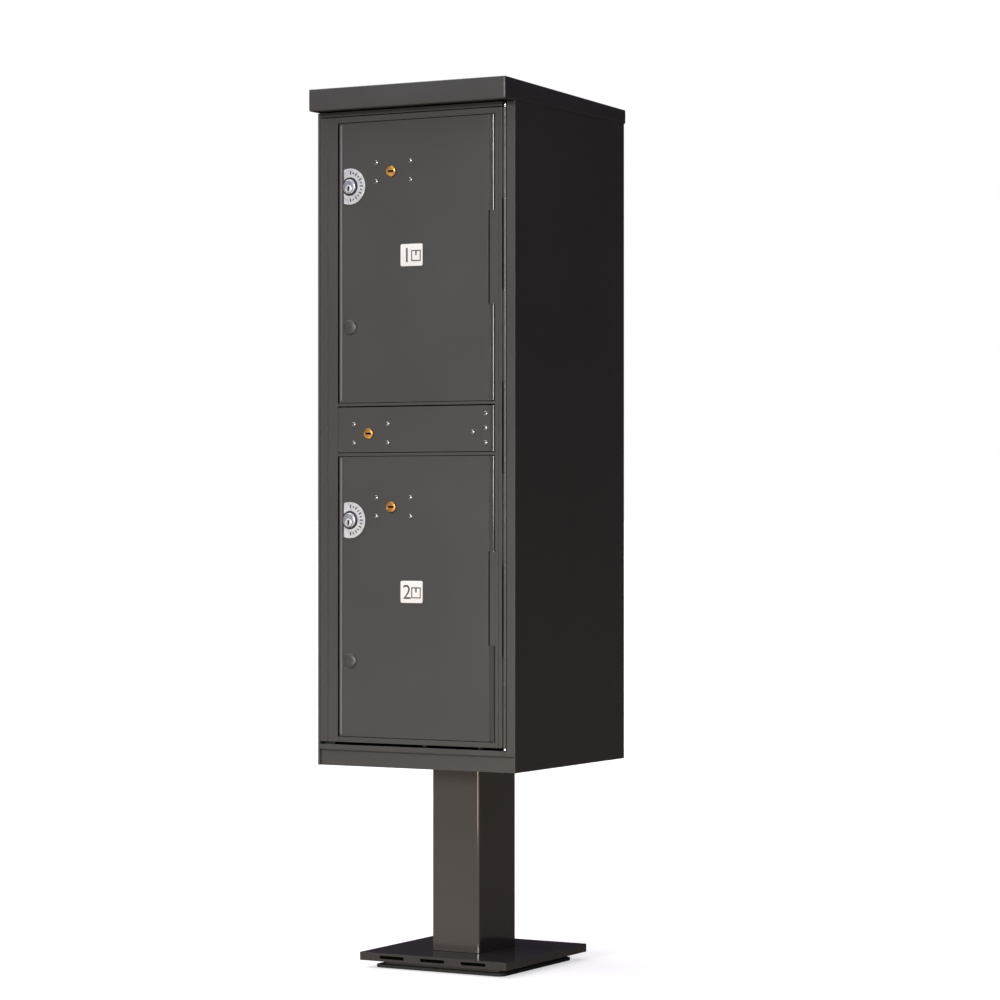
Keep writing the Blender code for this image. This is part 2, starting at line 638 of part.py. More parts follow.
def make_box_lock(name, x, z, bolt_tip, panel, axis):
    """Riveted box lock.

    It has a rivet plate, a hollow case, a brass plug with an eccentric driver pin, and the bolt that
    the pin slides.
    """
    case_front = FRONT + DOOR_SHEET + 2.2 * MM
    centre_x = x + CASE_SHIFT
    low = Vector((centre_x - CASE_WIDTH / 2, case_front, z - CASE_HEIGHT / 2))
    high = Vector((centre_x + CASE_WIDTH / 2, FRONT + CASE_BACK, z + CASE_HEIGHT / 2))
    case = box(f"{name}_case", low, high, zinc_steel)
    wall = Vector((1.6 * MM, 1.6 * MM, 1.6 * MM))
    inside = box(f"{name}_cavity", low + wall, high - wall)
    bolt_back = BOLT_FRONT + BOLT_THICKNESS
    slot = box(
        f"{name}_slot", (low[0] - MM, FRONT + BOLT_FRONT - 0.5 * MM, z - 7.1 * MM),
        (low[0] + 4 * MM, FRONT + bolt_back + 0.5 * MM, z + 7.1 * MM),
    )
    plug_hole = rod(f"{name}_plug_hole", (x, FRONT + 3 * MM, z), 10.7 * MM, 12 * MM, "Y")
    cut(case, inside, slot, plug_hole)
    cut(panel, plug_hole)
    plate_margin = Vector((3 * MM, 0, 3 * MM))
    plate_low = Vector((low[0], FRONT + DOOR_SHEET + GAP, low[2])) + plate_margin
    plate_high = Vector((high[0], FRONT + DOOR_SHEET + 1.9 * MM, high[2])) - plate_margin
    plate = box(f"{name}_rivet_plate", plate_low, plate_high, zinc_steel)
    add_rivets(plate, rivet_places(x, z), panel)
    cut(plate, plug_hole)

    core_axis = axis_empty(f"{name}_core_axis", (x, FRONT, z), axis)
    core = turned(
        f"{name}_core",
        [
            (0, 2.0 * MM), (9.4 * MM, 2.0 * MM), (10.2 * MM, 1.2 * MM), (10.2 * MM, -17 * MM),
            (12.4 * MM, -17 * MM), (12.4 * MM, -21.4 * MM), (0, -21.4 * MM),
        ],
        (x, FRONT, z), brass, 28,
    )
    # The pin starts 45 degrees to the right of straight up and ends 45 degrees to the left.
    pin_shift = DRIVER_RADIUS * math.sqrt(0.5)
    pin_centre = (x + pin_shift, FRONT + 23.5 * MM, z + pin_shift)
    join(core, rod(f"{name}_driver_pin", pin_centre, 2.0 * MM, 6.5 * MM, "Y", sides=12))
    keyway = rounded_rectangle(12.4 * MM, 2.0 * MM, 0.9 * MM, 2)
    cut(core, extrusion(f"{name}_keyway", keyway, (x, FRONT, z), 10 * MM, "Y"))

    tail_left, tail_right = x - 23 * MM, x + 25 * MM
    notch_x = x + pin_shift
    notch = 2.6 * MM
    bar, tail_top, notch_bottom = 6.5 * MM, 13.5 * MM, 4.2 * MM
    outline = [
        (bolt_tip, -bar), (tail_right, -bar), (tail_right, tail_top), (notch_x + notch, tail_top),
        (notch_x + notch, notch_bottom), (notch_x - notch, notch_bottom), (notch_x - notch, tail_top),
        (tail_left, tail_top), (tail_left, bar), (bolt_tip, bar),
    ]
    bolt_centre = (0, FRONT + BOLT_FRONT + BOLT_THICKNESS / 2, z)
    bolt = extrusion(f"{name}_bolt", outline, bolt_centre, BOLT_THICKNESS, "Y", bright_steel)
    for piece in (case, plate, bolt):
        ride(piece, axis)
    ride(core, core_axis)


def make_customer_lock(name, x, z, panel, axis):
    """Cam lock: round head with its key plug set low, a nut, and a cam that hangs down when open."""
    plug_z = z - CORE_DROP
    body = turned(
        f"{name}_lock_body",
        [
            (0, 4.5 * MM), (11.6 * MM, 4.5 * MM), (13.2 * MM, 3.0 * MM), (13.2 * MM, GAP),
            (12.1 * MM, GAP), (12.1 * MM, -21.8 * MM), (0, -21.8 * MM),
        ],
        (x, FRONT, z), bright_steel, 32,
    )
    cut(body, rod(f"{name}_core_bore", (x, FRONT + 9 * MM, plug_z), 7.25 * MM, 40 * MM, "Y"))
    cut(panel, rod(f"{name}_lock_hole", (x, FRONT + 3 * MM, z), 12.6 * MM, 14 * MM, "Y", sides=32))
    nut_front = FRONT + DOOR_SHEET + GAP
    nut = rod(f"{name}_lock_nut", (x, nut_front + 3 * MM, z), 17 * MM, 6 * MM, "Y", zinc_steel, 6)
    cut(nut, rod(f"{name}_nut_bore", (x, nut_front + 3 * MM, z), 12.5 * MM, 10 * MM, "Y"))

    core_axis = axis_empty(f"{name}_core_axis", (x, FRONT, plug_z), axis)
    core = turned(
        f"{name}_lock_core",
        [
            (0, 6.2 * MM), (6.2 * MM, 6.2 * MM), (6.9 * MM, 5.5 * MM), (6.9 * MM, -22.3 * MM),
            (3 * MM, -22.3 * MM), (3 * MM, -26 * MM), (0, -26 * MM),
        ],
        (x, FRONT, plug_z), bright_steel, 24,
    )
    key_slot = rounded_rectangle(2.0 * MM, 8.6 * MM, 0.9 * MM, 2)
    cut(core, extrusion(f"{name}_key_slot", key_slot, (x, FRONT, plug_z), 22 * MM, "Y"))
    cam_head = 6.5 * MM
    turns = [i * math.pi / 8 for i in range(9)]
    cam_outline = [(cam_head * math.cos(turn), cam_head * math.sin(turn)) for turn in turns]
    cam_outline += [(-5 * MM, -31 * MM), (5 * MM, -31 * MM)]
    cam_thickness = 2.2 * MM
    cam_centre = (x, FRONT + 22.7 * MM + cam_thickness / 2, plug_z)
    cam = extrusion(f"{name}_lock_cam", cam_outline, cam_centre, cam_thickness, "Y", zinc_steel)
    cut(cam, rod(f"{name}_cam_bore", cam_centre, 3.4 * MM, 8 * MM, "Y", sides=16))

    inner, outer, flat = 16.5 * MM, 32.2 * MM, -11.9 * MM
    outer_end = math.acos(flat / outer)
    inner_end = math.acos(flat / inner)
    steps = 20
    arc = [i / steps * 2 - 1 for i in range(steps + 1)]
    ring = [(outer * math.cos(-t * outer_end), outer * math.sin(-t * outer_end)) for t in arc]
    ring += [(inner * math.cos(t * inner_end), inner * math.sin(t * inner_end)) for t in arc]
    indicator = extrusion(
        f"{name}_key_indicator", ring, (x, FRONT - 0.8 * MM, z), 1.0 * MM, "Y", bright_steel,
    )
    for piece in (body, nut, indicator):
        ride(piece, axis)
    ride(core, core_axis)
    ride(cam, core_axis)


# ---- parcel doors ----

def make_parcel_door(side, bottom, master_axis):
    middle = bottom + DOOR_HEIGHT / 2
    axis = axis_empty(f"{side}_door_axis", (DOOR_AXIS_X, FRONT + AXIS_DEPTH, middle), master_axis)
    top = bottom + DOOR_HEIGHT
    return_back = FRONT + 13 * MM
    outline = [
        (DOOR_LEFT, FRONT), (FACE_RIGHT, FRONT), (FACE_RIGHT, FRONT + 1.9 * MM),
        (155 * MM, FRONT + 1.9 * MM), (155 * MM, FRONT + 4.9 * MM), (151 * MM, FRONT + 4.9 * MM),
        (151 * MM, FRONT + DOOR_SHEET),
        (DOOR_LEFT + SHEET, FRONT + DOOR_SHEET), (DOOR_LEFT + SHEET, return_back), (DOOR_LEFT, return_back),
    ]
    panel = extrusion(f"{side}_door_panel", outline, (0, 0, middle), DOOR_HEIGHT, "Z", powder_coat)
    centre = (DOOR_AXIS_X, FRONT + AXIS_DEPTH, middle)
    join(panel, rod(f"{side}_door_barrel", centre, BARREL_RADIUS, DOOR_HEIGHT, sides=20))
    for edge, low in (("bottom", bottom), ("top", top - SHEET)):
        return_low = (DOOR_LEFT + MM, FRONT + 2 * MM, low)
        return_high = (140 * MM, return_back - MM, low + SHEET)
        join(panel, box(f"{side}_{edge}_return", return_low, return_high))
    notch_low, notch_high = notch_span(bottom)
    notch_corner = (148.8 * MM, FRONT - 2 * MM, notch_low)
    cut(
        panel,
        box(f"{side}_hinge_notch", notch_corner, (165 * MM, FRONT + 12 * MM, notch_high)),
        rod(f"{side}_door_pin_bore", centre, PIN_HOLE_RADIUS, DOOR_HEIGHT + 4 * MM, sides=16),
        groove(f"{side}_left_groove", -150.3 * MM, middle, DOOR_HEIGHT),
        groove(f"{side}_right_groove", 150.3 * MM, middle, DOOR_HEIGHT),
    )
    ride(panel, axis)

    lock_z = bottom + CARRIER_LOCK_Z
    make_box_lock(f"{side}_carrier_lock", CARRIER_LOCK_X, lock_z, -151.2 * MM, panel, axis)
    make_customer_lock(side, CUSTOMER_LOCK_X, bottom + CUSTOMER_LOCK_Z, panel, axis)

    plate = extrusion(
        f"{side}_number_plate", rounded_rectangle(45.2 * MM, 39.2 * MM, 3 * MM),
        (NUMBER_PLATE_X, FRONT - 0.8 * MM, bottom + NUMBER_PLATE_Z), 1.0 * MM, "Y", white_plastic,
    )
    cap_z = bottom + CAP_Z
    cap = turned(
        f"{side}_hole_cap",
        [
            (0, 3.6 * MM), (8 * MM, 3.3 * MM), (12 * MM, 2.4 * MM), (13.7 * MM, 1.0 * MM), (13.7 * MM, GAP),
            (8.9 * MM, GAP), (8.9 * MM, -8 * MM), (0, -8 * MM),
        ],
        (CAP_X, FRONT, cap_z), powder_coat, 28,
    )
    cut(panel, rod(f"{side}_cap_hole", (CAP_X, FRONT + 3 * MM, cap_z), 9.3 * MM, 14 * MM, "Y"))
    ride(plate, axis)
    ride(cap, axis)


make_pedestal()
make_cabinet()
make_roof()
pin_bore = make_master_hinge()
door_middle = (MASTER_BOTTOM + MASTER_TOP) / 2
door_axis = axis_empty("master_door_axis", (MASTER_AXIS_X, FRONT + AXIS_DEPTH, door_middle))
make_master_frame(door_axis, pin_bore)
make_lock_strip(door_axis)
make_hinge_blocks(door_axis)
make_parcel_door("upper", UPPER_DOOR_BOTTOM, door_axis)
make_parcel_door("lower", LOWER_DOOR_BOTTOM, door_axis)
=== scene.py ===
import json
import math

import bmesh
import bpy
import numpy as np
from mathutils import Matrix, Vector


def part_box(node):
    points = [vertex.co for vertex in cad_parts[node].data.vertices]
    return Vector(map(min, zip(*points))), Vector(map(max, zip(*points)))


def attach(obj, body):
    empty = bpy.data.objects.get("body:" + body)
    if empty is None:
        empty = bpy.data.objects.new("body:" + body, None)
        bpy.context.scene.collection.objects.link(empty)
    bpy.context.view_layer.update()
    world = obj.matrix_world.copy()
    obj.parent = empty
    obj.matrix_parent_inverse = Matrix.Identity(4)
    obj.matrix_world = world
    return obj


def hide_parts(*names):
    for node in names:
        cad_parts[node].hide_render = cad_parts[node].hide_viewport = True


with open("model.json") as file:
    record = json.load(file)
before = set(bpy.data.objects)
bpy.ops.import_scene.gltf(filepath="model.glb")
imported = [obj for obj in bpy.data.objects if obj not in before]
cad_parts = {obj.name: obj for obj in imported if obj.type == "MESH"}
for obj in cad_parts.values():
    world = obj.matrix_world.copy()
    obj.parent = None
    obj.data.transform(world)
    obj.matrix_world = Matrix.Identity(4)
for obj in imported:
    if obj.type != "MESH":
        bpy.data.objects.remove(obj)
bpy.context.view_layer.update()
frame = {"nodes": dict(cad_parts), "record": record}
record = frame["record"]
mm = 0.001
print("frame loaded")


# places, colours and nodes

def middleOf(node):
    low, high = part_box(node)
    return np.array((low + high) / 2)


def linearColour(hexCode):
    # each channel of an sRGB hex code, taken through the sRGB curve to a linear value
    channels = np.array([int(hexCode[i:i + 2], 16) for i in (1, 3, 5)]) / 255
    linear = np.where(channels <= 0.04045, channels / 12.92, ((channels + 0.055) / 1.055) ** 2.4)
    return (*linear.tolist(), 1.0)


def addNode(tree, kind, settings=None, sockets=None):
    # one node with its settings, and each socket given a value or a link
    node = tree.nodes.new(kind)
    for key, value in (settings or {}).items():
        setattr(node, key, value)
    for key, value in (sockets or {}).items():
        if isinstance(value, bpy.types.NodeSocket):
            tree.links.new(value, node.inputs[key])
        else:
            node.inputs[key].default_value = value
    return node


def newMaterial(name, numbers):
    # a principled material with its plain numbers set, its tree, its shader and Object coordinates
    made = bpy.data.materials.new(name)
    made.use_nodes = True
    tree = made.node_tree
    shader = tree.nodes["Principled BSDF"]
    for key, value in numbers.items():
        shader.inputs[key].default_value = value
    place = addNode(tree, "ShaderNodeTexCoord").outputs["Object"]
    return made, tree, shader, place


# materials

coatLook = {
    "satin": {
        "dark": "#353636", "light": "#3c3c3b", "edge": "#4b4a47",
        "roughness": (0.38, 0.46), "peelDepth": 0.02 * mm,
    },
    "gloss": {
        "dark": "#34312f", "light": "#3c3937", "edge": "#4b4744",
        "roughness": (0.05, 0.09), "peelDepth": 0.004 * mm,
    },
    # the gloss coat again, painted lighter on the post: painted sheen for the light its front catches
    "post": {
        "dark": "#43403d", "light": "#4a4744", "edge": "#59544f",
        "roughness": (0.06, 0.1), "peelDepth": 0.004 * mm,
    },
    "bead": {
        "dark": "#3b3936", "light": "#43413d", "edge": "#4e4b47",
        "roughness": (0.07, 0.1), "peelDepth": 0.001 * mm,
        "edgeRadius": 0.1 * mm,
    },
    "knuckle": {
        "dark": "#3b3936", "light": "#43413d", "edge": "#4e4b47",
        "roughness": (0.24, 0.3), "peelDepth": 0.001 * mm,
        "edgeRadius": 0.1 * mm, "numbers": {"Specular IOR Level": 0.35},
    },
    "rivet": {
        "dark": "#3b3936", "light": "#43413d", "edge": "#4e4b47",
        "roughness": (0.15, 0.2), "peelDepth": 0.002 * mm,
        "edgeRadius": 0.1 * mm,
        "numbers": {"Specular IOR Level": 1.0, "Coat Weight": 1.0, "Coat Roughness": 0.12, "Coat IOR": 1.8},
    },
    # the hem's coat is the bronze painted paler: a painted highlight along the rounded folded edge
    "hem": {
        "dark": "#5a5759", "light": "#636063", "edge": "#6d6a6d",
        "roughness": (0.34, 0.42), "peelDepth": 0.01 * mm,
    },
}
coatSize = {
    "cloud": 250 * mm, "grain": 0.8 * mm, "peel": 3 * mm, "edgeRadius": 0.8 * mm,
    "cloudShare": 0.35, "edgeLean": (0.8, 0.98), "thinFilmAndHighlightShare": 0.5,
}
# noise seldom leaves this range, so it is stretched from here
noiseRange = {"From Min": 0.3, "From Max": 0.7}


def makePowderCoat(name, look):
    # Polyester powder coat on aluminium, sprayed and baked: an even dark bronze with a faint
    # orange-peel ripple 3 mm across, grains 0.8 mm across, cloudy changes of gloss 250 mm
    # across, and a paler colour on the edges, partly for the thinner film there and partly a
    # painted highlight. Grains are drawn coarser than the real 0.1 mm so that they show.
    made, tree, shader, place = newMaterial(name, {"IOR": 1.5, **look.get("numbers", {})})
    cloud = addNode(
        tree, "ShaderNodeTexNoise", None,
        {"Vector": place, "Scale": 1 / coatSize["cloud"], "Detail": 3.0},
    )
    grain = addNode(
        tree, "ShaderNodeTexNoise", None,
        {"Vector": place, "Scale": 1 / coatSize["grain"], "Detail": 2.0},
    )
    peel = addNode(
        tree, "ShaderNodeTexNoise", None,
        {"Vector": place, "Scale": 1 / coatSize["peel"], "Detail": 1.0},
    )
    grainShare = addNode(tree, "ShaderNodeMapRange", None, {"Value": grain.outputs["Fac"], **noiseRange})
    cloudShare = addNode(
        tree, "ShaderNodeMapRange", None,
        {"Value": cloud.outputs["Fac"], **noiseRange, "To Min": 0.0, "To Max": coatSize["cloudShare"]},
    )
    speckled = addNode(
        tree, "ShaderNodeMix", {"data_type": "RGBA"},
        {0: grainShare.outputs["Result"], 6: linearColour(look["dark"]), 7: linearColour(look["light"])},
    )
    clouded = addNode(
        tree, "ShaderNodeMix", {"data_type": "RGBA"},
        {0: cloudShare.outputs["Result"], 6: speckled.outputs[2], 7: linearColour(look["light"])},
    )
    # an edge is where the rounded normal leans away from the flat one; it is painted paler there,
    # partly for the thinner film and partly as a painted highlight
    edgeRadius = look.get("edgeRadius", coatSize["edgeRadius"])
    rounded = addNode(tree, "ShaderNodeBevel", {"samples": 6}, {"Radius": edgeRadius}).outputs["Normal"]
    flat = addNode(tree, "ShaderNodeNewGeometry").outputs["Normal"]
    lean = addNode(tree, "ShaderNodeVectorMath", {"operation": "DOT_PRODUCT"}, {0: rounded, 1: flat})
    leaning, level = coatSize["edgeLean"]
    thinFilmAndHighlightShare = addNode(
        tree, "ShaderNodeMapRange", None,
        {
            "Value": lean.outputs["Value"], "From Min": leaning, "From Max": level,
            "To Min": coatSize["thinFilmAndHighlightShare"], "To Max": 0.0,
        },
    )
    shade = addNode(
        tree, "ShaderNodeMix", {"data_type": "RGBA"},
        {0: thinFilmAndHighlightShare.outputs["Result"], 6: clouded.outputs[2], 7: linearColour(look["edge"])},
    )
    low, high = look["roughness"]
    gloss = addNode(
        tree, "ShaderNodeMapRange", None,
        {"Value": cloud.outputs["Fac"], **noiseRange, "To Min": low, "To Max": high},
    )
    ripple = addNode(
        tree, "ShaderNodeBump", None,
        {"Height": peel.outputs["Fac"], "Distance": look["peelDepth"], "Strength": 1.0, "Normal": rounded},
    )
    tree.links.new(shade.outputs[2], shader.inputs["Base Color"])
    tree.links.new(gloss.outputs["Result"], shader.inputs["Roughness"])
    tree.links.new(ripple.outputs["Normal"], shader.inputs["Normal"])
    return made


metalLook = {
    "brass": {
        "dark": "#94682f", "light": "#d6a55a",
        "roughness": (0.26, 0.4), "mark": 0.6 * mm, "metallic": 0.7,
    },
    "pin": {
        "dark": "#b4bac0", "light": "#d6dbe0",
        "roughness": (0.16, 0.3), "mark": 0.5 * mm, "metallic": 1.0,
    },
    "head": {
        "dark": "#9a9da9", "light": "#c3c6cf",
        "roughness": (0.24, 0.36), "mark": 0.5 * mm, "metallic": 0.6,
    },
    "dial": {
        "dark": "#c0c4cb", "light": "#e4e7ea",
        "roughness": (0.3, 0.42), "mark": 0.8 * mm, "metallic": 0.3,
    },
    "zinc": {
        "dark": "#8d9094", "light": "#b9bcc0",
        "roughness": (0.32, 0.5), "mark": 4 * mm, "metallic": 1.0,
    },
}
metalSize = {"patch": 6 * mm, "markDepth": 0.008 * mm, "edgeRadius": 0.3 * mm}


def makeMetal(name, look):
    # Bare or plated metal: tarnish in soft patches 6 mm across, and fine marks left by the
    # tool, the polishing wheel or the plating bath, at the size the look gives. A lacquered or
    # satin-plated one scatters light in its film, so its metallic number is lower.
    made, tree, shader, place = newMaterial(name, {"Metallic": look["metallic"]})
    patch = addNode(
        tree, "ShaderNodeTexNoise", None,
        {"Vector": place, "Scale": 1 / metalSize["patch"], "Detail": 3.0},
    )
    mark = addNode(
        tree, "ShaderNodeTexNoise", None,
        {"Vector": place, "Scale": 1 / look["mark"], "Detail": 4.0, "Roughness": 0.65},
    )
    share = addNode(tree, "ShaderNodeMapRange", None, {"Value": patch.outputs["Fac"], **noiseRange})
    shade = addNode(
        tree, "ShaderNodeMix", {"data_type": "RGBA"},
        {0: share.outputs["Result"], 6: linearColour(look["dark"]), 7: linearColour(look["light"])},
    )
    low, high = look["roughness"]
    gloss = addNode(
        tree, "ShaderNodeMapRange", None,
        {"Value": mark.outputs["Fac"], **noiseRange, "To Min": low, "To Max": high},
    )
    rounded = addNode(tree, "ShaderNodeBevel", {"samples": 4}, {"Radius": metalSize["edgeRadius"]})
    scratched = addNode(
        tree, "ShaderNodeBump", None,
        {
            "Height": mark.outputs["Fac"], "Distance": metalSize["markDepth"], "Strength": 1.0,
            "Normal": rounded.outputs["Normal"],
        },
    )
    tree.links.new(shade.outputs[2], shader.inputs["Base Color"])
    tree.links.new(gloss.outputs["Result"], shader.inputs["Roughness"])
    tree.links.new(scratched.outputs["Normal"], shader.inputs["Normal"])
    return made


plainLook = {
    "rubber": {
        "dark": "#161514", "light": "#24221f",
        "roughness": (0.7, 0.9), "fleck": 1.2 * mm, "depth": 0.05 * mm,
    },
    "acrylic": {
        "dark": "#f1f1ef", "light": "#fbfbfa",
        "roughness": (0.22, 0.34), "fleck": 2 * mm, "depth": 0.004 * mm,
    },
    "ink": {
        "dark": "#404247", "light": "#54565b",
        "roughness": (0.4, 0.55), "fleck": 0.6 * mm, "depth": 0.01 * mm,
    },
    # the keyways' black, with no shine, is painted shade
    "slot": {
        "dark": "#020202", "light": "#060505",
        "roughness": (0.6, 0.8), "fleck": 0.5 * mm, "depth": 0.01 * mm,
        "numbers": {"Specular IOR Level": 0.0},
    },
}


def makePlain(name, look):
    # A moulded, printed or shaded surface: two close shades in flecks of the given size, and a
    # faint bump of the same flecks, as rubber, engraving plastic and paint fill have. The black
    # without shine in the keyways is painted shade.
    made, tree, shader, place = newMaterial(name, look.get("numbers", {}))
    fleck = addNode(
        tree, "ShaderNodeTexNoise", None,
        {"Vector": place, "Scale": 1 / look["fleck"], "Detail": 3.0, "Roughness": 0.6},
    )
    share = addNode(tree, "ShaderNodeMapRange", None, {"Value": fleck.outputs["Fac"], **noiseRange})
    shade = addNode(
        tree, "ShaderNodeMix", {"data_type": "RGBA"},
        {0: share.outputs["Result"], 6: linearColour(look["dark"]), 7: linearColour(look["light"])},
    )
    low, high = look["roughness"]
    gloss = addNode(
        tree, "ShaderNodeMapRange", None,
        {"Value": fleck.outputs["Fac"], **noiseRange, "To Min": low, "To Max": high},
    )
    bumped = addNode(
        tree, "ShaderNodeBump", None,
        {"Height": fleck.outputs["Fac"], "Distance": look["depth"], "Strength": 1.0},
    )
    tree.links.new(shade.outputs[2], shader.inputs["Base Color"])
    tree.links.new(gloss.outputs["Result"], shader.inputs["Roughness"])
    tree.links.new(bumped.outputs["Normal"], shader.inputs["Normal"])
    return made


satinCoat = makePowderCoat("satinBronzePowderCoat", coatLook["satin"])
glossCoat = makePowderCoat("glossBronzePowderCoat", coatLook["gloss"])
postCoatWithPaintedSheen = makePowderCoat("glossBronzePostCoatPaintedSheen", coatLook["post"])
beadCoat = makePowderCoat("glossBronzeBeadCoat", coatLook["bead"])
knuckleCoat = makePowderCoat("bronzeKnuckleCoat", coatLook["knuckle"])
rivetCoat = makePowderCoat("bronzeRivetEnamel", coatLook["rivet"])
hemHighlightCoat = makePowderCoat("bronzeHemPaintedHighlightCoat", coatLook["hem"])
turnedBrass = makeMetal("turnedBrass", metalLook["brass"])
brightSteel = makeMetal("brightPlatedSteel", metalLook["pin"])
castHead = makeMetal("satinNickelZincCasting", metalLook["head"])
dialPlate = makeMetal("brushedNickelDialPlate", metalLook["dial"])
zincPlate = makeMetal("zincPlatedSteel", metalLook["zinc"])
padRubber = makePlain("mouldedRubber", plainLook["rubber"])
plateAcrylic = makePlain("engravingAcrylic", plainLook["acrylic"])
greyInk = makePlain("greyPaintFill", plainLook["ink"])
slotShade = makePlain("paintedShadeKeyway", plainLook["slot"])

finishes = {
    "powder_coat": satinCoat, "gloss_coat": glossCoat, "brass": turnedBrass, "bright_steel": brightSteel,
    "zinc_steel": zincPlate, "rubber": padRubber, "white_plastic": plateAcrylic,
}
for entry in record["subparts"]:
    cadMesh = frame["nodes"][entry["node"]].data
    cadMesh.materials.clear()
    cadMesh.materials.append(finishes[entry["material_slot"]])
print("materials made")


# shapes: each one returns its points, its faces' corners in one row, and each face's count

def skin(rings):
    # A closed surface over rings, a grid of points with one closed loop a row: side faces join
    # each loop to the next, and one flat face closes each end.
    count, around = rings.shape[:2]
    grid = np.arange(count * around).reshape(count, around)
    ahead = np.roll(grid, -1, axis=1)
    sides = np.stack([grid[:-1], ahead[:-1], ahead[1:], grid[1:]], axis=-1).reshape(-1, 4)
    corners = np.concatenate([sides.ravel(), grid[0, ::-1], grid[-1]])
    return rings.reshape(-1, 3), corners, np.append(np.full(len(sides), 4), [around, around])


def hoop(rings):
    # the same grid joined end to end as well as round, with no flat faces
    count, around = rings.shape[:2]
    grid = np.arange(count * around).reshape(count, around)
    ahead = np.roll(grid, -1, axis=1)
    faces = np.stack([grid, ahead, np.roll(ahead, -1, axis=0), np.roll(grid, -1, axis=0)], axis=-1)
    return rings.reshape(-1, 3), faces.ravel(), np.full(grid.size, 4)


def filleted(corners, radius, steps=5):
    # A closed outline with every corner rounded. At each corner the arc's centre lies on the
    # bisector, r / sin(half angle) away, and the arc turns evenly from one tangent point to
    # the other. A point a little before and after each arc keeps the straights flat.
    corners = np.array(corners, float)
    before = np.roll(corners, 1, axis=0) - corners
    after = np.roll(corners, -1, axis=0) - corners
    before /= np.linalg.norm(before, axis=1, keepdims=True)
    after /= np.linalg.norm(after, axis=1, keepdims=True)
    half = np.arccos(np.clip((before * after).sum(1, keepdims=True), -1, 1)) / 2
    reach = radius / np.tan(half)
    bisector = (before + after) / np.linalg.norm(before + after, axis=1, keepdims=True)
    centre = corners + bisector * radius / np.sin(half)
    first = (corners + before * reach - centre)[:, None]
    last = (corners + after * reach - centre)[:, None]
    sweep = (np.pi - 2 * half)[:, :, None]
    share = np.linspace(0, 1, steps + 1)[None, :, None]
    arc = (np.sin((1 - share) * sweep) * first + np.sin(share * sweep) * last) / np.sin(sweep)
    beyond = 1.15
    lead = (corners + before * reach * beyond)[:, None]
    trail = (corners + after * reach * beyond)[:, None]
    return np.concatenate([lead, arc + centre[:, None], trail], axis=1).reshape(-1, 2)


def rectangle(width, height, radius, steps=5):
    x, z = width / 2, height / 2
    return filleted([(x, -z), (x, z), (-x, z), (-x, -z)], radius, steps)


def circle(radius, sides=64, shift=(0, 0)):
    angle = np.linspace(0, 2 * np.pi, sides, endpoint=False)
    return np.stack([radius * np.cos(angle) + shift[0], radius * np.sin(angle) + shift[1]], axis=1)


def slotLoop(look, growth=0.0, sides=64):
    # A slot with round ends: a circle whose two halves are pushed apart by the reach, and
    # whose radius falls from the ends' to the waist's with the square of the cosine.
    angle = np.linspace(0, 2 * np.pi, sides, endpoint=False)
    radius = look["waist"] + growth + (look["end"] - look["waist"]) * np.cos(angle) ** 2
    long = look["reach"] * np.clip(5 * np.cos(angle), -1, 1) + radius * np.cos(angle)
    short = radius * np.sin(angle)
    return np.stack([-short, long] if look["upright"] else [long, short], axis=1)


def inset(outline, amount):
    # each point moved inwards, square to the line between its neighbours
    along = np.roll(outline, -1, axis=0) - np.roll(outline, 1, axis=0)
    along /= np.linalg.norm(along, axis=1, keepdims=True)
    inwards = np.stack([-along[:, 1], along[:, 0]], axis=1)
    turn = (outline * np.roll(outline[:, ::-1], -1, axis=0) * [1, -1]).sum()
    return outline + inwards * amount * (1 if turn > 0 else -1)


def carried(outline, low, high, edge=0.3 * mm):
    # an outline in X and Y carried straight up, its two ends drawn in by a small chamfer
    drawnIn = inset(outline, edge)
    flats = np.stack([drawnIn, outline, outline, drawnIn])
    heights = np.array([low, low + edge, high - edge, high])[:, None, None] + np.zeros((4, len(outline), 1))
    return skin(np.concatenate([flats, heights], axis=-1))


def loopsAt(outlines, depths, centre):
    # outlines in X and Z, one behind the other: a depth is measured forwards from the centre
    rings = np.empty((len(depths), len(outlines[0]), 3))
    rings[..., [0, 2]] = np.stack(outlines) + np.array(centre)[[0, 2]]
    rings[..., 1] = centre[1] - np.array(depths)[:, None]
    return rings


def turned(profile, centre, sides=64):
    # a profile of (radius, height towards the front), in millimetres, turned round an axis along Y
    profile = np.array(profile) * mm
    return skin(loopsAt([circle(radius, sides) for radius in profile[:, 0]], profile[:, 1], centre))


def domeProfile(radius, rise, foot, steps=8):
    # A dome's profile, from near its pole: radius times the sine of the angle, and rise times
    # its cosine, down to the foot.
    nearPole = 0.08
    angle = np.linspace(nearPole, 0.5, steps) * np.pi
    return np.stack([radius * np.sin(angle), foot + (rise - foot) * np.cos(angle)], axis=1).tolist()


def softPlate(width, height, look, centre, steps=4):
    # A plate with round corners and a round front edge: its outline grows by edge times the
    # sine of the angle as the depth falls by edge times one less the cosine.
    angle = np.linspace(0, 0.5, steps + 1) * np.pi
    draw = look["edge"] * (1 - np.sin(angle))
    depth = look["thickness"] - look["edge"] * (1 - np.cos(angle))
    outlines = [
        rectangle(width - 2 * d, height - 2 * d, max(look["corner"] - d, look["edge"] / 2)) for d in draw
    ]
    return skin(loopsAt(outlines + [outlines[-1]], np.append(depth, 0), centre))


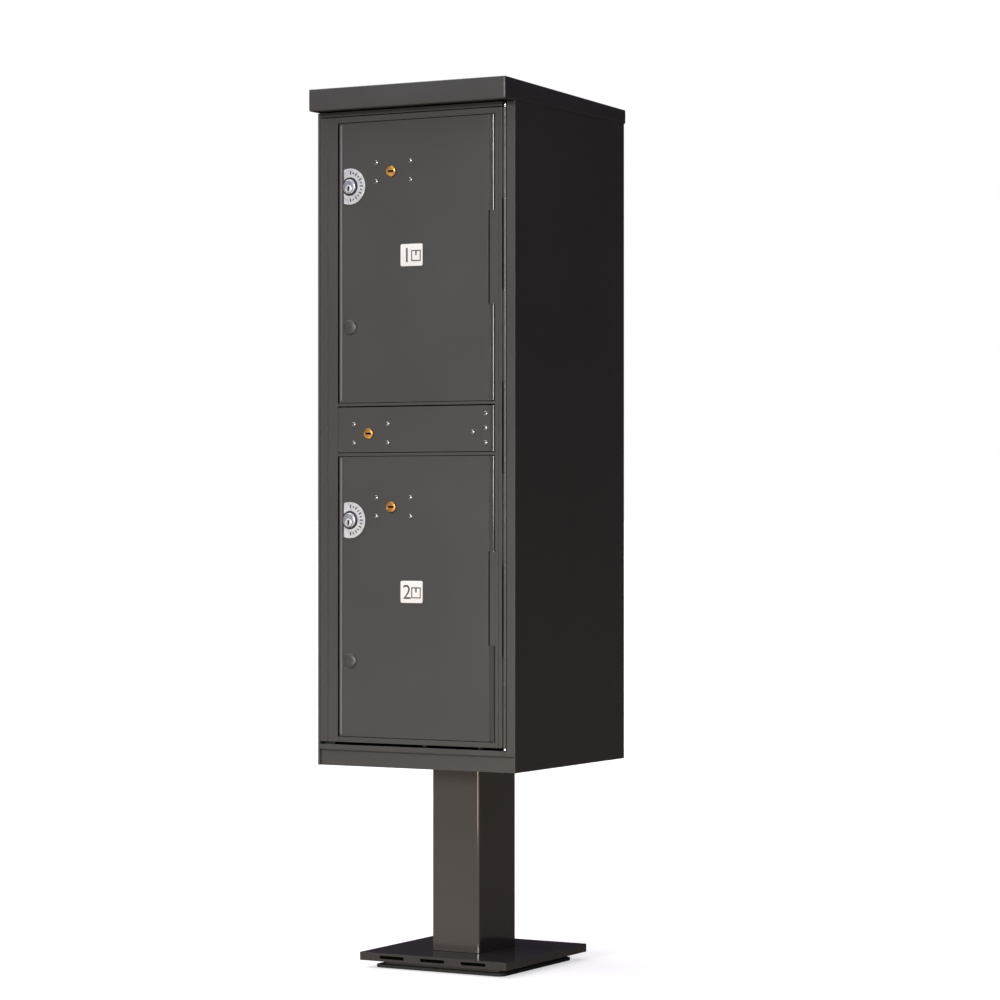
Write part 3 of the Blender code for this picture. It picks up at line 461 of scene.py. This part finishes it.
def makePiece(name, shells, body, finish, standsFor=(), smooth=35):
    # one mesh from several closed shells, smooth across angles under the given degrees
    starts = np.cumsum([0] + [len(shell[0]) for shell in shells])
    points = np.concatenate([shell[0] for shell in shells])
    corners = np.concatenate([shell[1] + start for start, shell in zip(starts, shells)])
    counts = np.concatenate([shell[2] for shell in shells])
    mesh = bpy.data.meshes.new(name)
    mesh.vertices.add(len(points))
    mesh.loops.add(len(corners))
    mesh.polygons.add(len(counts))
    mesh.vertices.foreach_set("co", points.astype(np.float32).ravel())
    mesh.loops.foreach_set("vertex_index", corners.astype(np.int32))
    mesh.polygons.foreach_set("loop_start", (np.cumsum(counts) - counts).astype(np.int32))
    mesh.update(calc_edges=True)
    mesh.validate()
    facing = bmesh.new()
    facing.from_mesh(mesh)
    bmesh.ops.recalc_face_normals(facing, faces=facing.faces)
    facing.to_mesh(mesh)
    facing.free()
    mesh.shade_smooth()
    mesh.set_sharp_from_angle(angle=math.radians(smooth))
    mesh.materials.append(finish)
    piece = bpy.data.objects.new(name, mesh)
    bpy.context.scene.collection.objects.link(piece)
    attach(piece, body)
    if standsFor:
        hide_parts(*standsFor)


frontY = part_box("master_stile_left")[0].y  # the plane of the doors' faces


# roof hood

hood = {
    "corner": 3 * mm, "leastCorner": 0.4 * mm, "bottomEdge": 4 * mm, "bottomDraw": 0.6, "topEdge": 2 * mm,
    "rearDrop": 13.8 * mm, "wall": 2.5 * mm, "edgeSteps": 6,
}


def makeHood():
    # A rounded rectangle in plan, carried up from the rim. The top edge is a quarter round and
    # the bottom one a quarter ellipse, and the top's height falls evenly from front to rear.
    low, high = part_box("roof_hood")
    width, depth = high.x - low.x, high.y - low.y
    centre = np.array([(low.x + high.x) / 2, (low.y + high.y) / 2])
    quarter = np.linspace(0, 0.5, hood["edgeSteps"]) * np.pi

    def plan(draw):
        corner = max(hood["corner"] - draw, hood["leastCorner"])
        return rectangle(width - 2 * draw, depth - 2 * draw, corner) + centre

    rim = plan(hood["wall"])
    rings = [
        np.column_stack([rim, np.full(len(rim), low.z + hood["wall"])]),
        np.column_stack([rim, np.full(len(rim), low.z)]),
    ]
    for turn in quarter:
        edge = hood["bottomEdge"]
        outline = plan(edge * hood["bottomDraw"] * (1 - np.sin(turn)))
        rings.append(np.column_stack([outline, np.full(len(outline), low.z + edge * (1 - np.cos(turn)))]))
    for turn in quarter:
        edge = hood["topEdge"]
        outline = plan(edge * (1 - np.cos(turn)))
        top = high.z - hood["rearDrop"] * (outline[:, 1] - low.y) / depth
        rings.append(np.column_stack([outline, top - edge * (1 - np.sin(turn))]))
    makePiece("roofHood", [skin(np.stack(rings))], "cabinet", satinCoat, ["roof_hood"])


makeHood()

# post

post = {"corner": 4 * mm, "cornerSteps": 8}


def makePost():
    low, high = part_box("post")
    outline = rectangle(high.x - low.x, high.y - low.y, post["corner"], post["cornerSteps"])
    shell = carried(outline + middleOf("post")[:2], low.z, high.z)
    # the post's lighter coat is painted sheen
    makePiece("postTube", [shell], "cabinet", postCoatWithPaintedSheen, ["post"])


makePost()
print("hood and post made")


# rivets, and the plates and the bracket that they hold

rivet = {"radius": 4.7, "rise": 2.6, "foot": 0.05, "shank": 2.4, "shankEnd": -4.5, "sides": 32}
boxLock = {
    "rivetAcross": 70.4 * mm, "rivetUp": 33.4 * mm, "plateDepth": 3.3 * mm, "plateThickness": 1.6 * mm,
    "holeRadius": 10.7 * mm, "holeSides": 48, "holeTurn": 0.01,
}
bracket = {
    "profile": [
        (0, 3.3), (42.5, 3.3), (42.5, 7.1), (53, 7.1), (53, 14), (51, 14), (51, 9.1), (40.5, 9.1),
        (40.5, 5.3), (0, 5.3),
    ],
    "bend": 0.5 * mm, "rivetColumn": 35.4 * mm, "rivetRises": (25.7 * mm, 0.4 * mm, -24.9 * mm),
    "singleRivet": (9.5 * mm, -6.3 * mm),
}


def rivetShell(x, z):
    profile = domeProfile(rivet["radius"], rivet["rise"], rivet["foot"])
    profile += [[rivet["shank"], rivet["foot"]], [rivet["shank"], rivet["shankEnd"]]]
    return turned(profile, (x, frontY, z), rivet["sides"])


def makeRivetPlate(name, node, core, body):
    # The plate is carried back by its thickness, with the key plug's round hole in it: at each
    # angle round the hole's centre one point lies on the hole and one on the nearest side of
    # the rectangle, with four of the angles at its corners. The small turn keeps every angle
    # off the axes, where the division would fail. A rivet stands near each corner.
    low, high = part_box(node)
    middle = middleOf(node)
    half = np.array([high.x - low.x, high.z - low.z]) / 2
    away = (middleOf(core) - middle)[[0, 2]]
    corners = np.array([(1, 1), (-1, 1), (-1, -1), (1, -1)]) * half - away
    even = np.linspace(0, 2 * np.pi, boxLock["holeSides"], endpoint=False) + boxLock["holeTurn"] - np.pi
    angle = np.sort(np.append(even, np.arctan2(corners[:, 1], corners[:, 0])))
    aim = np.stack([np.cos(angle), np.sin(angle)], axis=1)
    hole = away + boxLock["holeRadius"] * aim
    outline = away + aim * ((np.sign(aim) * half - away) / aim).min(axis=1, keepdims=True)
    place = (middle[0], frontY + boxLock["plateDepth"], middle[2])
    back = -boxLock["plateThickness"]
    plate = hoop(loopsAt([hole, outline, outline, hole], [0, 0, back, back], place))
    makePiece(f"{name}RivetPlate", [plate], body, zincPlate, [node])
    eachSide = np.array([-0.5, 0.5])
    across, up = np.meshgrid(boxLock["rivetAcross"] * eachSide, boxLock["rivetUp"] * eachSide)
    places = np.column_stack([middle[0] + across.ravel(), middle[2] + up.ravel()])
    makePiece(f"{name}Rivets", [rivetShell(x, z) for x, z in places], body, rivetCoat)


def makeBracket():
    # the bent angle's section, carried up the strip, with three rivets in a column and one beside
    low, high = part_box("strip_bracket")
    middle = middleOf("strip_bracket")
    section = filleted(np.array(bracket["profile"]) * mm, bracket["bend"], 3) + [low.x, frontY]
    angle = carried(section, low.z, high.z)
    makePiece("stripBracketAngle", [angle], "master_door", zincPlate, ["strip_bracket"])
    places = [(low.x + bracket["rivetColumn"], middle[2] + rise) for rise in bracket["rivetRises"]]
    places.append((low.x + bracket["singleRivet"][0], middle[2] + bracket["singleRivet"][1]))
    makePiece("stripRivets", [rivetShell(x, z) for x, z in places], "master_door", rivetCoat)


makeBracket()

# brass key plugs

brassKey = {
    "reach": 4.2 * mm, "end": 1.9 * mm, "waist": 1.6 * mm, "upright": False,
    "lip": 0.25 * mm, "depth": 5 * mm,
}
keywayShadeBlock = {"clearance": 0.1 * mm, "sink": 0.5 * mm, "depthShare": 0.8}
brassPlug = {
    "face": 2.0 * mm, "driverAway": 7.0 * mm,
    "outline": [
        (7.2, 2.0), (7.5, 1.8), (7.8, 1.8), (8.0, 2.0), (8.9, 2.0), (9.4, 1.7), (9.7, 1.1), (9.75, -2.5),
        (10.2, -2.6), (10.2, -17), (12.4, -17), (12.4, -21.4), (6, -21.4),
    ],
    "driver": [(0.4, -20), (2.0, -20), (2.0, -26.3), (1.6, -26.7), (0.4, -26.7)],
}


def slottedPlug(key, face, outline, centre):
    # loops from the floor of the keyway out over its lip, then the turned outline to the back
    outline = np.array(outline) * mm
    outlines = [slotLoop(key), slotLoop(key), slotLoop(key, key["lip"])]
    outlines += [circle(radius) for radius in outline[:, 0]]
    depths = np.concatenate([[face - key["depth"], face - key["lip"], face], outline[:, 1]])
    return skin(loopsAt(outlines, depths, centre))


def keywayShade(key, face, centre):
    # a black block of painted shade in the keyway, a little smaller than the slot and set back from its
    # mouth
    ward = slotLoop(key, -keywayShadeBlock["clearance"])
    depths = [face - keywayShadeBlock["sink"], face - key["depth"] * keywayShadeBlock["depthShare"]]
    return skin(loopsAt([ward, ward], depths, centre))


def makeBrassPlug(name, node, body):
    middle = middleOf(node)
    centre = (middle[0], frontY, middle[2])
    away = brassPlug["driverAway"]
    shells = [slottedPlug(brassKey, brassPlug["face"], brassPlug["outline"], centre)]
    shells.append(turned(brassPlug["driver"], (centre[0] + away, frontY, centre[2] + away), 24))
    makePiece(f"{name}Plug", shells, body, turnedBrass, [node])
    shade = keywayShade(brassKey, brassPlug["face"], centre)
    makePiece(f"{name}Keyway", [shade], body, slotShade)


# customer locks

customerKey = {
    "reach": 2.4 * mm, "end": 2.0 * mm, "waist": 1.4 * mm, "upright": True,
    "lip": 0.25 * mm, "depth": 6 * mm,
}
customerLock = {
    "boreRadius": 7.25 * mm, "boreLip": 0.35 * mm, "headRise": 4.5 * mm, "back": -21.8 * mm,
    "plugFace": 6.2 * mm, "faceFoot": 2.5 * mm,
    "sealRadius": 14.6 * mm, "sealTube": 1.3 * mm, "sealRise": 0.9 * mm, "sealSides": 16,
    "head": [
        (9.4, 4.45), (11.3, 4.2), (12.2, 3.9), (12.85, 3.2), (13.2, 2.2), (13.2, 0.3), (12.1, 0.3),
        (12.1, -21.8),
    ],
    "plug": [(5.2, 6.2), (5.9, 6.15), (6.5, 5.9), (6.9, 5.3), (6.9, -22.3), (3, -22.3), (3, -26)],
}


def makeCustomerLock(side):
    # The head's loops run from the back of its bore, which is set low, out over its lip and
    # face, down its side and back inwards to where they began.
    body = f"{side}_door"
    middle = middleOf(f"{side}_lock_body")
    plugMiddle = middleOf(f"{side}_lock_core")
    centre = (middle[0], frontY, middle[2])
    drop = plugMiddle[2] - middle[2]
    bore, lip, rise = customerLock["boreRadius"], customerLock["boreLip"], customerLock["headRise"]
    head = np.array(customerLock["head"]) * mm
    # the face's loops slide from the bore's centre to the head's as they grow, so none cross
    widest = head[:, 0].max()
    slide = (widest - head[:, 0]) / (widest - bore) * (head[:, 1] > customerLock["faceFoot"])
    outlines = [circle(radius, shift=(0, drop)) for radius in (bore, bore, bore + lip)]
    outlines += [circle(radius, shift=(0, drop * share)) for radius, share in zip(head[:, 0], slide)]
    depths = np.concatenate([[customerLock["back"], rise - lip, rise], head[:, 1]])
    shell = hoop(loopsAt(outlines, depths, centre))
    makePiece(f"{side}LockHead", [shell], body, castHead, [f"{side}_lock_body"])

    plugBody = f"{side}_customer_plug"
    plugCentre = (plugMiddle[0], frontY, plugMiddle[2])
    plug = slottedPlug(customerKey, customerLock["plugFace"], customerLock["plug"], plugCentre)
    makePiece(f"{side}LockPlug", [plug], plugBody, dialPlate, [f"{side}_lock_core"])
    shade = keywayShade(customerKey, customerLock["plugFace"], plugCentre)
    makePiece(f"{side}LockKeyway", [shade], plugBody, slotShade)

    # seal ring under the head, black rubber that also paints the shade in the gap round the head:
    # a small circle carried round the lock's centre
    tube = circle(1.0, customerLock["sealSides"])
    radii = customerLock["sealRadius"] + customerLock["sealTube"] * tube[:, 0]
    depths = customerLock["sealRise"] * (1 + tube[:, 1])
    around = circle(1.0)
    rings = np.empty((len(around), len(tube), 3))
    rings[..., [0, 2]] = around[:, None] * radii[None, :, None] + np.array(centre)[[0, 2]]
    rings[..., 1] = frontY - depths
    makePiece(f"{side}LockSealAndShadeRing", [hoop(rings)], body, padRubber)


# half-moon dial plates

dial = {
    "inner": 16.5 * mm, "outer": 32.2 * mm, "flat": -11.9 * mm, "thickness": 1.0 * mm, "gap": 0.3 * mm,
    "edgeRound": 0.08, "steps": 73, "tickSpan": 86, "ticks": 13, "tickRadius": 24.4 * mm,
    "tickHalfLengths": (3.0 * mm, 1.9 * mm), "tickHalfAngle": 3.0, "tickRise": 0.08 * mm,
    "tickSink": 0.05 * mm,
}


def arcBar(centre, inner, outer, angles, front, thickness):
    # a flat bar bent round a centre, between two radii
    radii = np.array([inner, outer, outer, inner])[None, :]
    x = centre[0] + radii * np.cos(angles)[:, None]
    z = centre[2] + radii * np.sin(angles)[:, None]
    y = np.broadcast_to(front - np.array([thickness, thickness, 0, 0]), x.shape)
    return skin(np.stack([x, y, z], axis=-1))


def makeDial(side):
    # A ring whose angle runs, at each radius, between the two points where that radius meets
    # the flat side: the end angle is the arc cosine of flat over radius.
    middle = middleOf(f"{side}_lock_body")
    body = f"{side}_door"
    edge = np.clip(rectangle(1, 1, dial["edgeRound"], 3) + 0.5, 0, 1)
    radius = dial["inner"] + (dial["outer"] - dial["inner"]) * edge[:, 0]
    depth = dial["gap"] + dial["thickness"] * edge[:, 1]
    turn = np.linspace(-1, 1, dial["steps"])[:, None] * np.arccos(dial["flat"] / radius)[None, :]
    x = middle[0] + radius * np.cos(turn)
    z = middle[2] + radius * np.sin(turn)
    y = np.broadcast_to(frontY - depth, x.shape)
    ring = skin(np.stack([x, y, z], axis=-1))
    makePiece(f"{side}DialPlate", [ring], body, dialPlate, [f"{side}_key_indicator"])
    front = frontY - dial["gap"] - dial["thickness"] + dial["tickSink"]
    marks = []
    for number, tick in enumerate(np.linspace(-dial["tickSpan"], dial["tickSpan"], dial["ticks"])):
        half = dial["tickHalfLengths"][number % 2]
        spread = np.radians([tick - dial["tickHalfAngle"], tick + dial["tickHalfAngle"]])
        inner, outer = dial["tickRadius"] - half, dial["tickRadius"] + half
        marks.append(arcBar(middle, inner, outer, spread, front, dial["tickRise"] + dial["tickSink"]))
    makePiece(f"{side}DialMarks", marks, body, greyInk)


# hole caps

cap = {
    "profile": [
        (2.0, 3.6), (5.0, 3.58), (8.0, 3.42), (10.2, 3.05), (11.9, 2.45), (13.0, 1.75), (13.55, 1.1),
        (13.7, 0.5), (13.6, 0.25), (8.9, 0.25), (8.9, -8),
    ],
}


def makeHoleCap(side):
    middle = middleOf(f"{side}_hole_cap")
    shell = turned(cap["profile"], (middle[0], frontY, middle[2]))
    makePiece(f"{side}HoleCap", [shell], f"{side}_door", satinCoat, [f"{side}_hole_cap"])


# number plates

plate = {
    "corner": 3 * mm, "edge": 0.4 * mm, "thickness": 1.0 * mm, "gap": 0.3 * mm,
    "inkRise": 0.09 * mm, "inkSink": 0.03 * mm, "inkCorner": 0.2 * mm,
    "digitHeight": 25 * mm, "digitShift": -9.5 * mm,
    "parcelShift": (9.2 * mm, -1.5 * mm), "parcelHalf": 9.8 * mm, "parcelStroke": 2.0 * mm,
    "tapeRise": 0.45, "tapeLength": 0.75, "tapeWidth": 1.5,
}


def digitShell(word, height, x, z, front, thickness):
    # the built-in font's outline made a solid mesh, then scaled and moved to its place
    curve = bpy.data.curves.new("digit", "FONT")
    curve.body = word
    curve.extrude = 0.5
    holder = bpy.data.objects.new("digit", curve)
    bpy.context.scene.collection.objects.link(holder)
    bpy.context.view_layer.update()
    mesh = bpy.data.meshes.new_from_object(holder.evaluated_get(bpy.context.evaluated_depsgraph_get()))
    points = np.empty(len(mesh.vertices) * 3, np.float32)
    corners = np.empty(len(mesh.loops), np.int32)
    counts = np.empty(len(mesh.polygons), np.int32)
    mesh.vertices.foreach_get("co", points)
    mesh.loops.foreach_get("vertex_index", corners)
    mesh.polygons.foreach_get("loop_total", counts)
    points = points.reshape(-1, 3).astype(float)
    bpy.data.objects.remove(holder)
    bpy.data.meshes.remove(mesh)
    low, high = points.min(0), points.max(0)
    flat = (points - (low + high) / 2)[:, :2] * height / (high[1] - low[1])
    depth = (points[:, 2] - low[2]) / (high[2] - low[2]) * thickness
    return np.column_stack([x + flat[:, 0], front - depth, z + flat[:, 1]]), corners, counts


def makeNumberPlate(side, digit):
    low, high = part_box(f"{side}_number_plate")
    middle = middleOf(f"{side}_number_plate")
    body = f"{side}_door"
    back = frontY - plate["gap"]
    shell = softPlate(high.x - low.x, high.z - low.z, plate, (middle[0], back, middle[2]))
    makePiece(f"{side}NumberPlate", [shell], body, plateAcrylic, [f"{side}_number_plate"])
    front = back - plate["thickness"] + plate["inkSink"]
    thickness = plate["inkRise"] + plate["inkSink"]
    digitX = middle[0] + plate["digitShift"]
    marks = [digitShell(digit, plate["digitHeight"], digitX, middle[2], front, thickness)]
    # a parcel: a square frame with its tape down from the middle of the top
    half, stroke = plate["parcelHalf"], plate["parcelStroke"]
    boxX, boxZ = middle[0] + plate["parcelShift"][0], middle[2] + plate["parcelShift"][1]
    bars = [
        (0, half - stroke / 2, 2 * half, stroke), (0, stroke / 2 - half, 2 * half, stroke),
        (stroke / 2 - half, 0, stroke, 2 * half), (half - stroke / 2, 0, stroke, 2 * half),
        (0, half * plate["tapeRise"], stroke * plate["tapeWidth"], half * plate["tapeLength"]),
    ]
    for x, z, wide, tall in bars:
        bar = rectangle(wide, tall, plate["inkCorner"], 2)
        marks.append(skin(loopsAt([bar, bar], [thickness, 0], (boxX + x, front, boxZ + z))))
    makePiece(f"{side}NumberMarks", marks, body, greyInk, smooth=20)


# door hems

hem = {
    "width": 5.2 * mm, "inset": 0.3 * mm, "rise": 0.5 * mm, "sink": 0.4 * mm,
    "endGap": 3 * mm, "endEdge": 0.1 * mm, "archShare": 0.98, "steps": 9,
}


def makeHem(side):
    # The folded edge of a door's left side: a low arch in section, whose height is the rise
    # times the square root of one less the square of the place across, carried up the door.
    low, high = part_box(f"{side}_door_panel")
    across = np.linspace(-1, 1, hem["steps"])
    x = low.x + hem["inset"] + hem["width"] * (across + 1) / 2
    y = frontY - hem["rise"] * np.sqrt(1 - (across * hem["archShare"]) ** 2)
    section = np.column_stack([np.append(x, x[::-1][[0, -1]]), np.append(y, [frontY + hem["sink"]] * 2)])
    shell = carried(section, low.z + hem["endGap"], high.z - hem["endGap"], hem["endEdge"])
    # its paler coat paints the highlight along the hem's rounded face
    makePiece(f"{side}DoorHem", [shell], f"{side}_door", hemHighlightCoat)


# assembly of the repeated fittings

makeRivetPlate("masterLock", "master_lock_rivet_plate", "master_lock_core", "master_door")
makeBrassPlug("masterLock", "master_lock_core", "master_key_plug")
for side, digit in (("upper", "1"), ("lower", "2")):
    carrierCore = f"{side}_carrier_lock_core"
    makeRivetPlate(f"{side}Carrier", f"{side}_carrier_lock_rivet_plate", carrierCore, f"{side}_door")
    makeBrassPlug(f"{side}Carrier", carrierCore, f"{side}_carrier_plug")
    makeCustomerLock(side)
    makeDial(side)
    makeHoleCap(side)
    makeNumberPlate(side, digit)
    makeHem(side)
print("door fittings made")

# hinge barrels and the long hinge's pin

barrel = {
    "radius": 3.27 * mm, "bore": 2.15 * mm, "endEdge": 0.25 * mm, "sides": 48, "knuckles": 7,
    "knuckleGap": 0.4 * mm, "notchGap": 0.35 * mm,
}
hingePin = {
    "foot": [(1.0, 0.0), (3.4, 0.2), (4.0, 0.8), (4.0, 2.6), (3.6, 3.2), (1.9, 3.2)],
    "tip": [(1.9, -7.0), (2.4, -7.0), (2.6, -6.7), (2.6, -1.4), (2.2, -0.5), (1.2, 0.0)],
    "sides": 32,
}


def barrelShell(x, y, low, high):
    # a tube: loops from the bore's lower end, out round the barrel and back to its upper end
    edge = barrel["endEdge"]
    radii = np.array([barrel["bore"], barrel["radius"] - edge, barrel["radius"]])
    radii = np.append(radii, radii[::-1])
    rings = np.empty((len(radii), barrel["sides"], 3))
    rings[..., :2] = circle(1.0, barrel["sides"])[None] * radii[:, None, None] + [x, y]
    rings[..., 2] = np.array([low, low, low + edge, high - edge, high, high])[:, None]
    return hoop(rings)


def makeBarrels():
    # smooth rolled barrels over the doors' hinge edges, the strip's and the long hinge's knuckles
    for side in ("upper", "lower"):
        doorLow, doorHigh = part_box(f"{side}_door_panel")
        blockLow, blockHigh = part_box(f"{side}_hinge_block")
        axis = middleOf(f"{side}_hinge_pin")
        gap = barrel["notchGap"]
        spans = ((doorLow.z, blockLow.z - gap), (blockHigh.z + gap, doorHigh.z))
        shells = [barrelShell(axis[0], axis[1], low, high) for low, high in spans]
        makePiece(f"{side}DoorBarrels", shells, f"{side}_door", beadCoat)
    low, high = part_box("lock_strip")
    shells = [barrelShell(axis[0], axis[1], low.z, high.z)]
    makePiece("stripBarrel", shells, "master_door", beadCoat)
    low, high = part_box("master_stile_right")
    axis = middleOf("master_hinge_pin")
    ends = np.linspace(low.z, high.z, barrel["knuckles"] + 1)
    gap = barrel["knuckleGap"] / 2
    spans = [(start + gap, end - gap) for start, end in zip(ends[:-1], ends[1:])]
    for first, name, body in ((0, "doorKnuckles", "master_door"), (1, "cabinetKnuckles", "cabinet")):
        shells = [barrelShell(axis[0], axis[1], start, end) for start, end in spans[first::2]]
        makePiece(name, shells, body, knuckleCoat)


def makeHingePin():
    # a profile of radius and height turned round the long hinge's axis: head, shaft and tip
    low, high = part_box("master_hinge_pin")
    axis = middleOf("master_hinge_pin")
    profile = np.concatenate([
        np.array(hingePin["foot"]) * mm + [0, low.z], np.array(hingePin["tip"]) * mm + [0, high.z],
    ])
    unit = circle(1.0, hingePin["sides"])
    rings = np.empty((len(profile), hingePin["sides"], 3))
    rings[..., :2] = unit[None] * profile[:, :1, None] + axis[:2]
    rings[..., 2] = profile[:, 1:]
    makePiece("longHingePin", [skin(rings)], "cabinet", brightSteel, ["master_hinge_pin"])


makeBarrels()
makeHingePin()
print("hinges made")

# floor, lights and camera

studio = {
    "floorSize": 400.0, "seenFloor": "#d6d5d4", "floorGlow": 0.6, "bounceFloor": "#746b60",
    "mirroredFloor": "#d8cfc2", "mirrorFade": (-0.6, 0.4), "skyRise": (0.1, 0.6),
    "seenSurround": "#ffffff", "surround": "#ddcdf4", "horizonLight": 0.02, "overheadLight": 0.3,
}
suns = {
    "keySun": {"azimuth": 2, "height": 12, "spread": 12, "strength": 1.62},
    "topSun": {"azimuth": 55, "height": 68, "spread": 70, "strength": 2.4},
}
lamps = {
    "tallCard": {
        "place": (3.7, -6.5, 1.75), "target": (0.17, -0.2, 1.3), "size": (3.4, 1.9), "power": 520.0,
        "colour": "#ffffff", "glossOnly": True,
    },
    "lowLamp": {
        "place": (0.1, -2.4, 0.12), "target": (0, -0.2, 0.35), "size": (1.6, 0.2), "power": 11.0,
        "colour": "#ffe2bd", "glossOnly": False,
    },
}


def makeStage():
    half = studio["floorSize"] / 2
    mesh = bpy.data.meshes.new("floor")
    corners = [(-half, -half, 0), (half, -half, 0), (half, half, 0), (-half, half, 0)]
    mesh.from_pydata(corners, [], [(0, 1, 2, 3)])
    floor = bpy.data.objects.new("floor", mesh)
    bpy.context.scene.collection.objects.link(floor)
    # Pale backlit paper. Light that bounces off it is toned down, as if the sheet were small.
    paper, tree, shader, place = newMaterial("backlitFloorPaper", {"Roughness": 0.9})
    path = addNode(tree, "ShaderNodeLightPath")
    seen = path.outputs["Is Camera Ray"]
    # the sheet that shows in reflections lies in front of the doors and fades out under them
    lengthwise = addNode(tree, "ShaderNodeSeparateXYZ", None, {"Vector": place}).outputs["Y"]
    nearEnd, farEnd = studio["mirrorFade"]
    sheet = addNode(
        tree, "ShaderNodeMapRange", None,
        {"Value": lengthwise, "From Min": nearEnd, "From Max": farEnd, "To Min": 1.0, "To Max": 0.0},
    )
    mirrored = addNode(
        tree, "ShaderNodeMath", {"operation": "MULTIPLY"},
        {0: path.outputs["Is Glossy Ray"], 1: sheet.outputs["Result"]},
    )
    bounced = addNode(
        tree, "ShaderNodeMix", {"data_type": "RGBA"},
        {
            0: mirrored.outputs["Value"], 6: linearColour(studio["bounceFloor"]),
            7: linearColour(studio["mirroredFloor"]),
        },
    )
    shade = addNode(
        tree, "ShaderNodeMix", {"data_type": "RGBA"},
        {0: seen, 6: bounced.outputs[2], 7: linearColour(studio["seenFloor"])},
    )
    glow = addNode(
        tree, "ShaderNodeMapRange", None, {"Value": seen, "To Min": 0.0, "To Max": studio["floorGlow"]}
    )
    tree.links.new(shade.outputs[2], shader.inputs["Base Color"])
    tree.links.new(glow.outputs["Result"], shader.inputs["Emission Strength"])
    shader.inputs["Emission Color"].default_value = linearColour("#ffffff")
    mesh.materials.append(paper)
    world = bpy.data.worlds.new("studioSurround")
    bpy.context.scene.world = world
    world.use_nodes = True
    tree = world.node_tree
    seen = addNode(tree, "ShaderNodeLightPath").outputs["Is Camera Ray"]
    shade = addNode(
        tree, "ShaderNodeMix", {"data_type": "RGBA"},
        {0: seen, 6: linearColour(studio["surround"]), 7: linearColour(studio["seenSurround"])},
    )
    # dim at the horizon and brighter overhead
    facing = addNode(tree, "ShaderNodeTexCoord").outputs["Generated"]
    rise = addNode(tree, "ShaderNodeSeparateXYZ", None, {"Vector": facing}).outputs["Z"]
    lowest, highest = studio["skyRise"]
    sky = addNode(
        tree, "ShaderNodeMapRange", None,
        {
            "Value": rise, "From Min": lowest, "From Max": highest,
            "To Min": studio["horizonLight"], "To Max": studio["overheadLight"],
        },
    )
    strength = addNode(
        tree, "ShaderNodeMapRange", None, {"Value": seen, "To Min": sky.outputs["Result"], "To Max": 1.0}
    )
    tree.links.new(shade.outputs[2], tree.nodes["Background"].inputs["Color"])
    tree.links.new(strength.outputs["Result"], tree.nodes["Background"].inputs["Strength"])


def addSun(name, look):
    # the azimuth is measured to the left of straight ahead of the doors, the height from level
    lamp = bpy.data.lights.new(name, "SUN")
    lamp.angle = math.radians(look["spread"])
    lamp.energy = look["strength"]
    light = bpy.data.objects.new(name, lamp)
    light.rotation_euler = (math.radians(90 - look["height"]), 0, math.radians(-look["azimuth"]))
    bpy.context.scene.collection.objects.link(light)


def addLamp(name, look):
    # a flat rectangle of light turned towards its target, or a card that only shows in reflections
    lamp = bpy.data.lights.new(name, "AREA")
    lamp.shape = "RECTANGLE"
    lamp.size, lamp.size_y = look["size"]
    lamp.energy = look["power"]
    lamp.color = linearColour(look["colour"])[:3]
    light = bpy.data.objects.new(name, lamp)
    light.location = look["place"]
    aim = Vector(look["target"]) - Vector(look["place"])
    light.rotation_euler = aim.to_track_quat("-Z", "Y").to_euler()
    light.visible_camera = False
    light.visible_diffuse = not look["glossOnly"]
    bpy.context.scene.collection.objects.link(light)


view = {
    "place": (3.0425, -5.3383, 0.8298), "yaw": 29.7, "lens": 121.65, "sensor": 36,
    "shift": (0.02697, 0.00696),
}


def makeCamera():
    lens = bpy.data.cameras.new("camera")
    lens.lens = view["lens"]
    lens.sensor_width = view["sensor"]
    lens.shift_x, lens.shift_y = view["shift"]
    lens.clip_end = 200
    camera = bpy.data.objects.new("camera", lens)
    camera.location = view["place"]
    camera.rotation_euler = (math.pi / 2, 0, math.radians(view["yaw"]))
    bpy.context.scene.collection.objects.link(camera)
    bpy.context.scene.camera = camera


makeStage()
for name, look in suns.items():
    addSun(name, look)
for name, look in lamps.items():
    addLamp(name, look)
makeCamera()
bpy.context.scene.view_settings.view_transform = "Standard"
print("stage made")
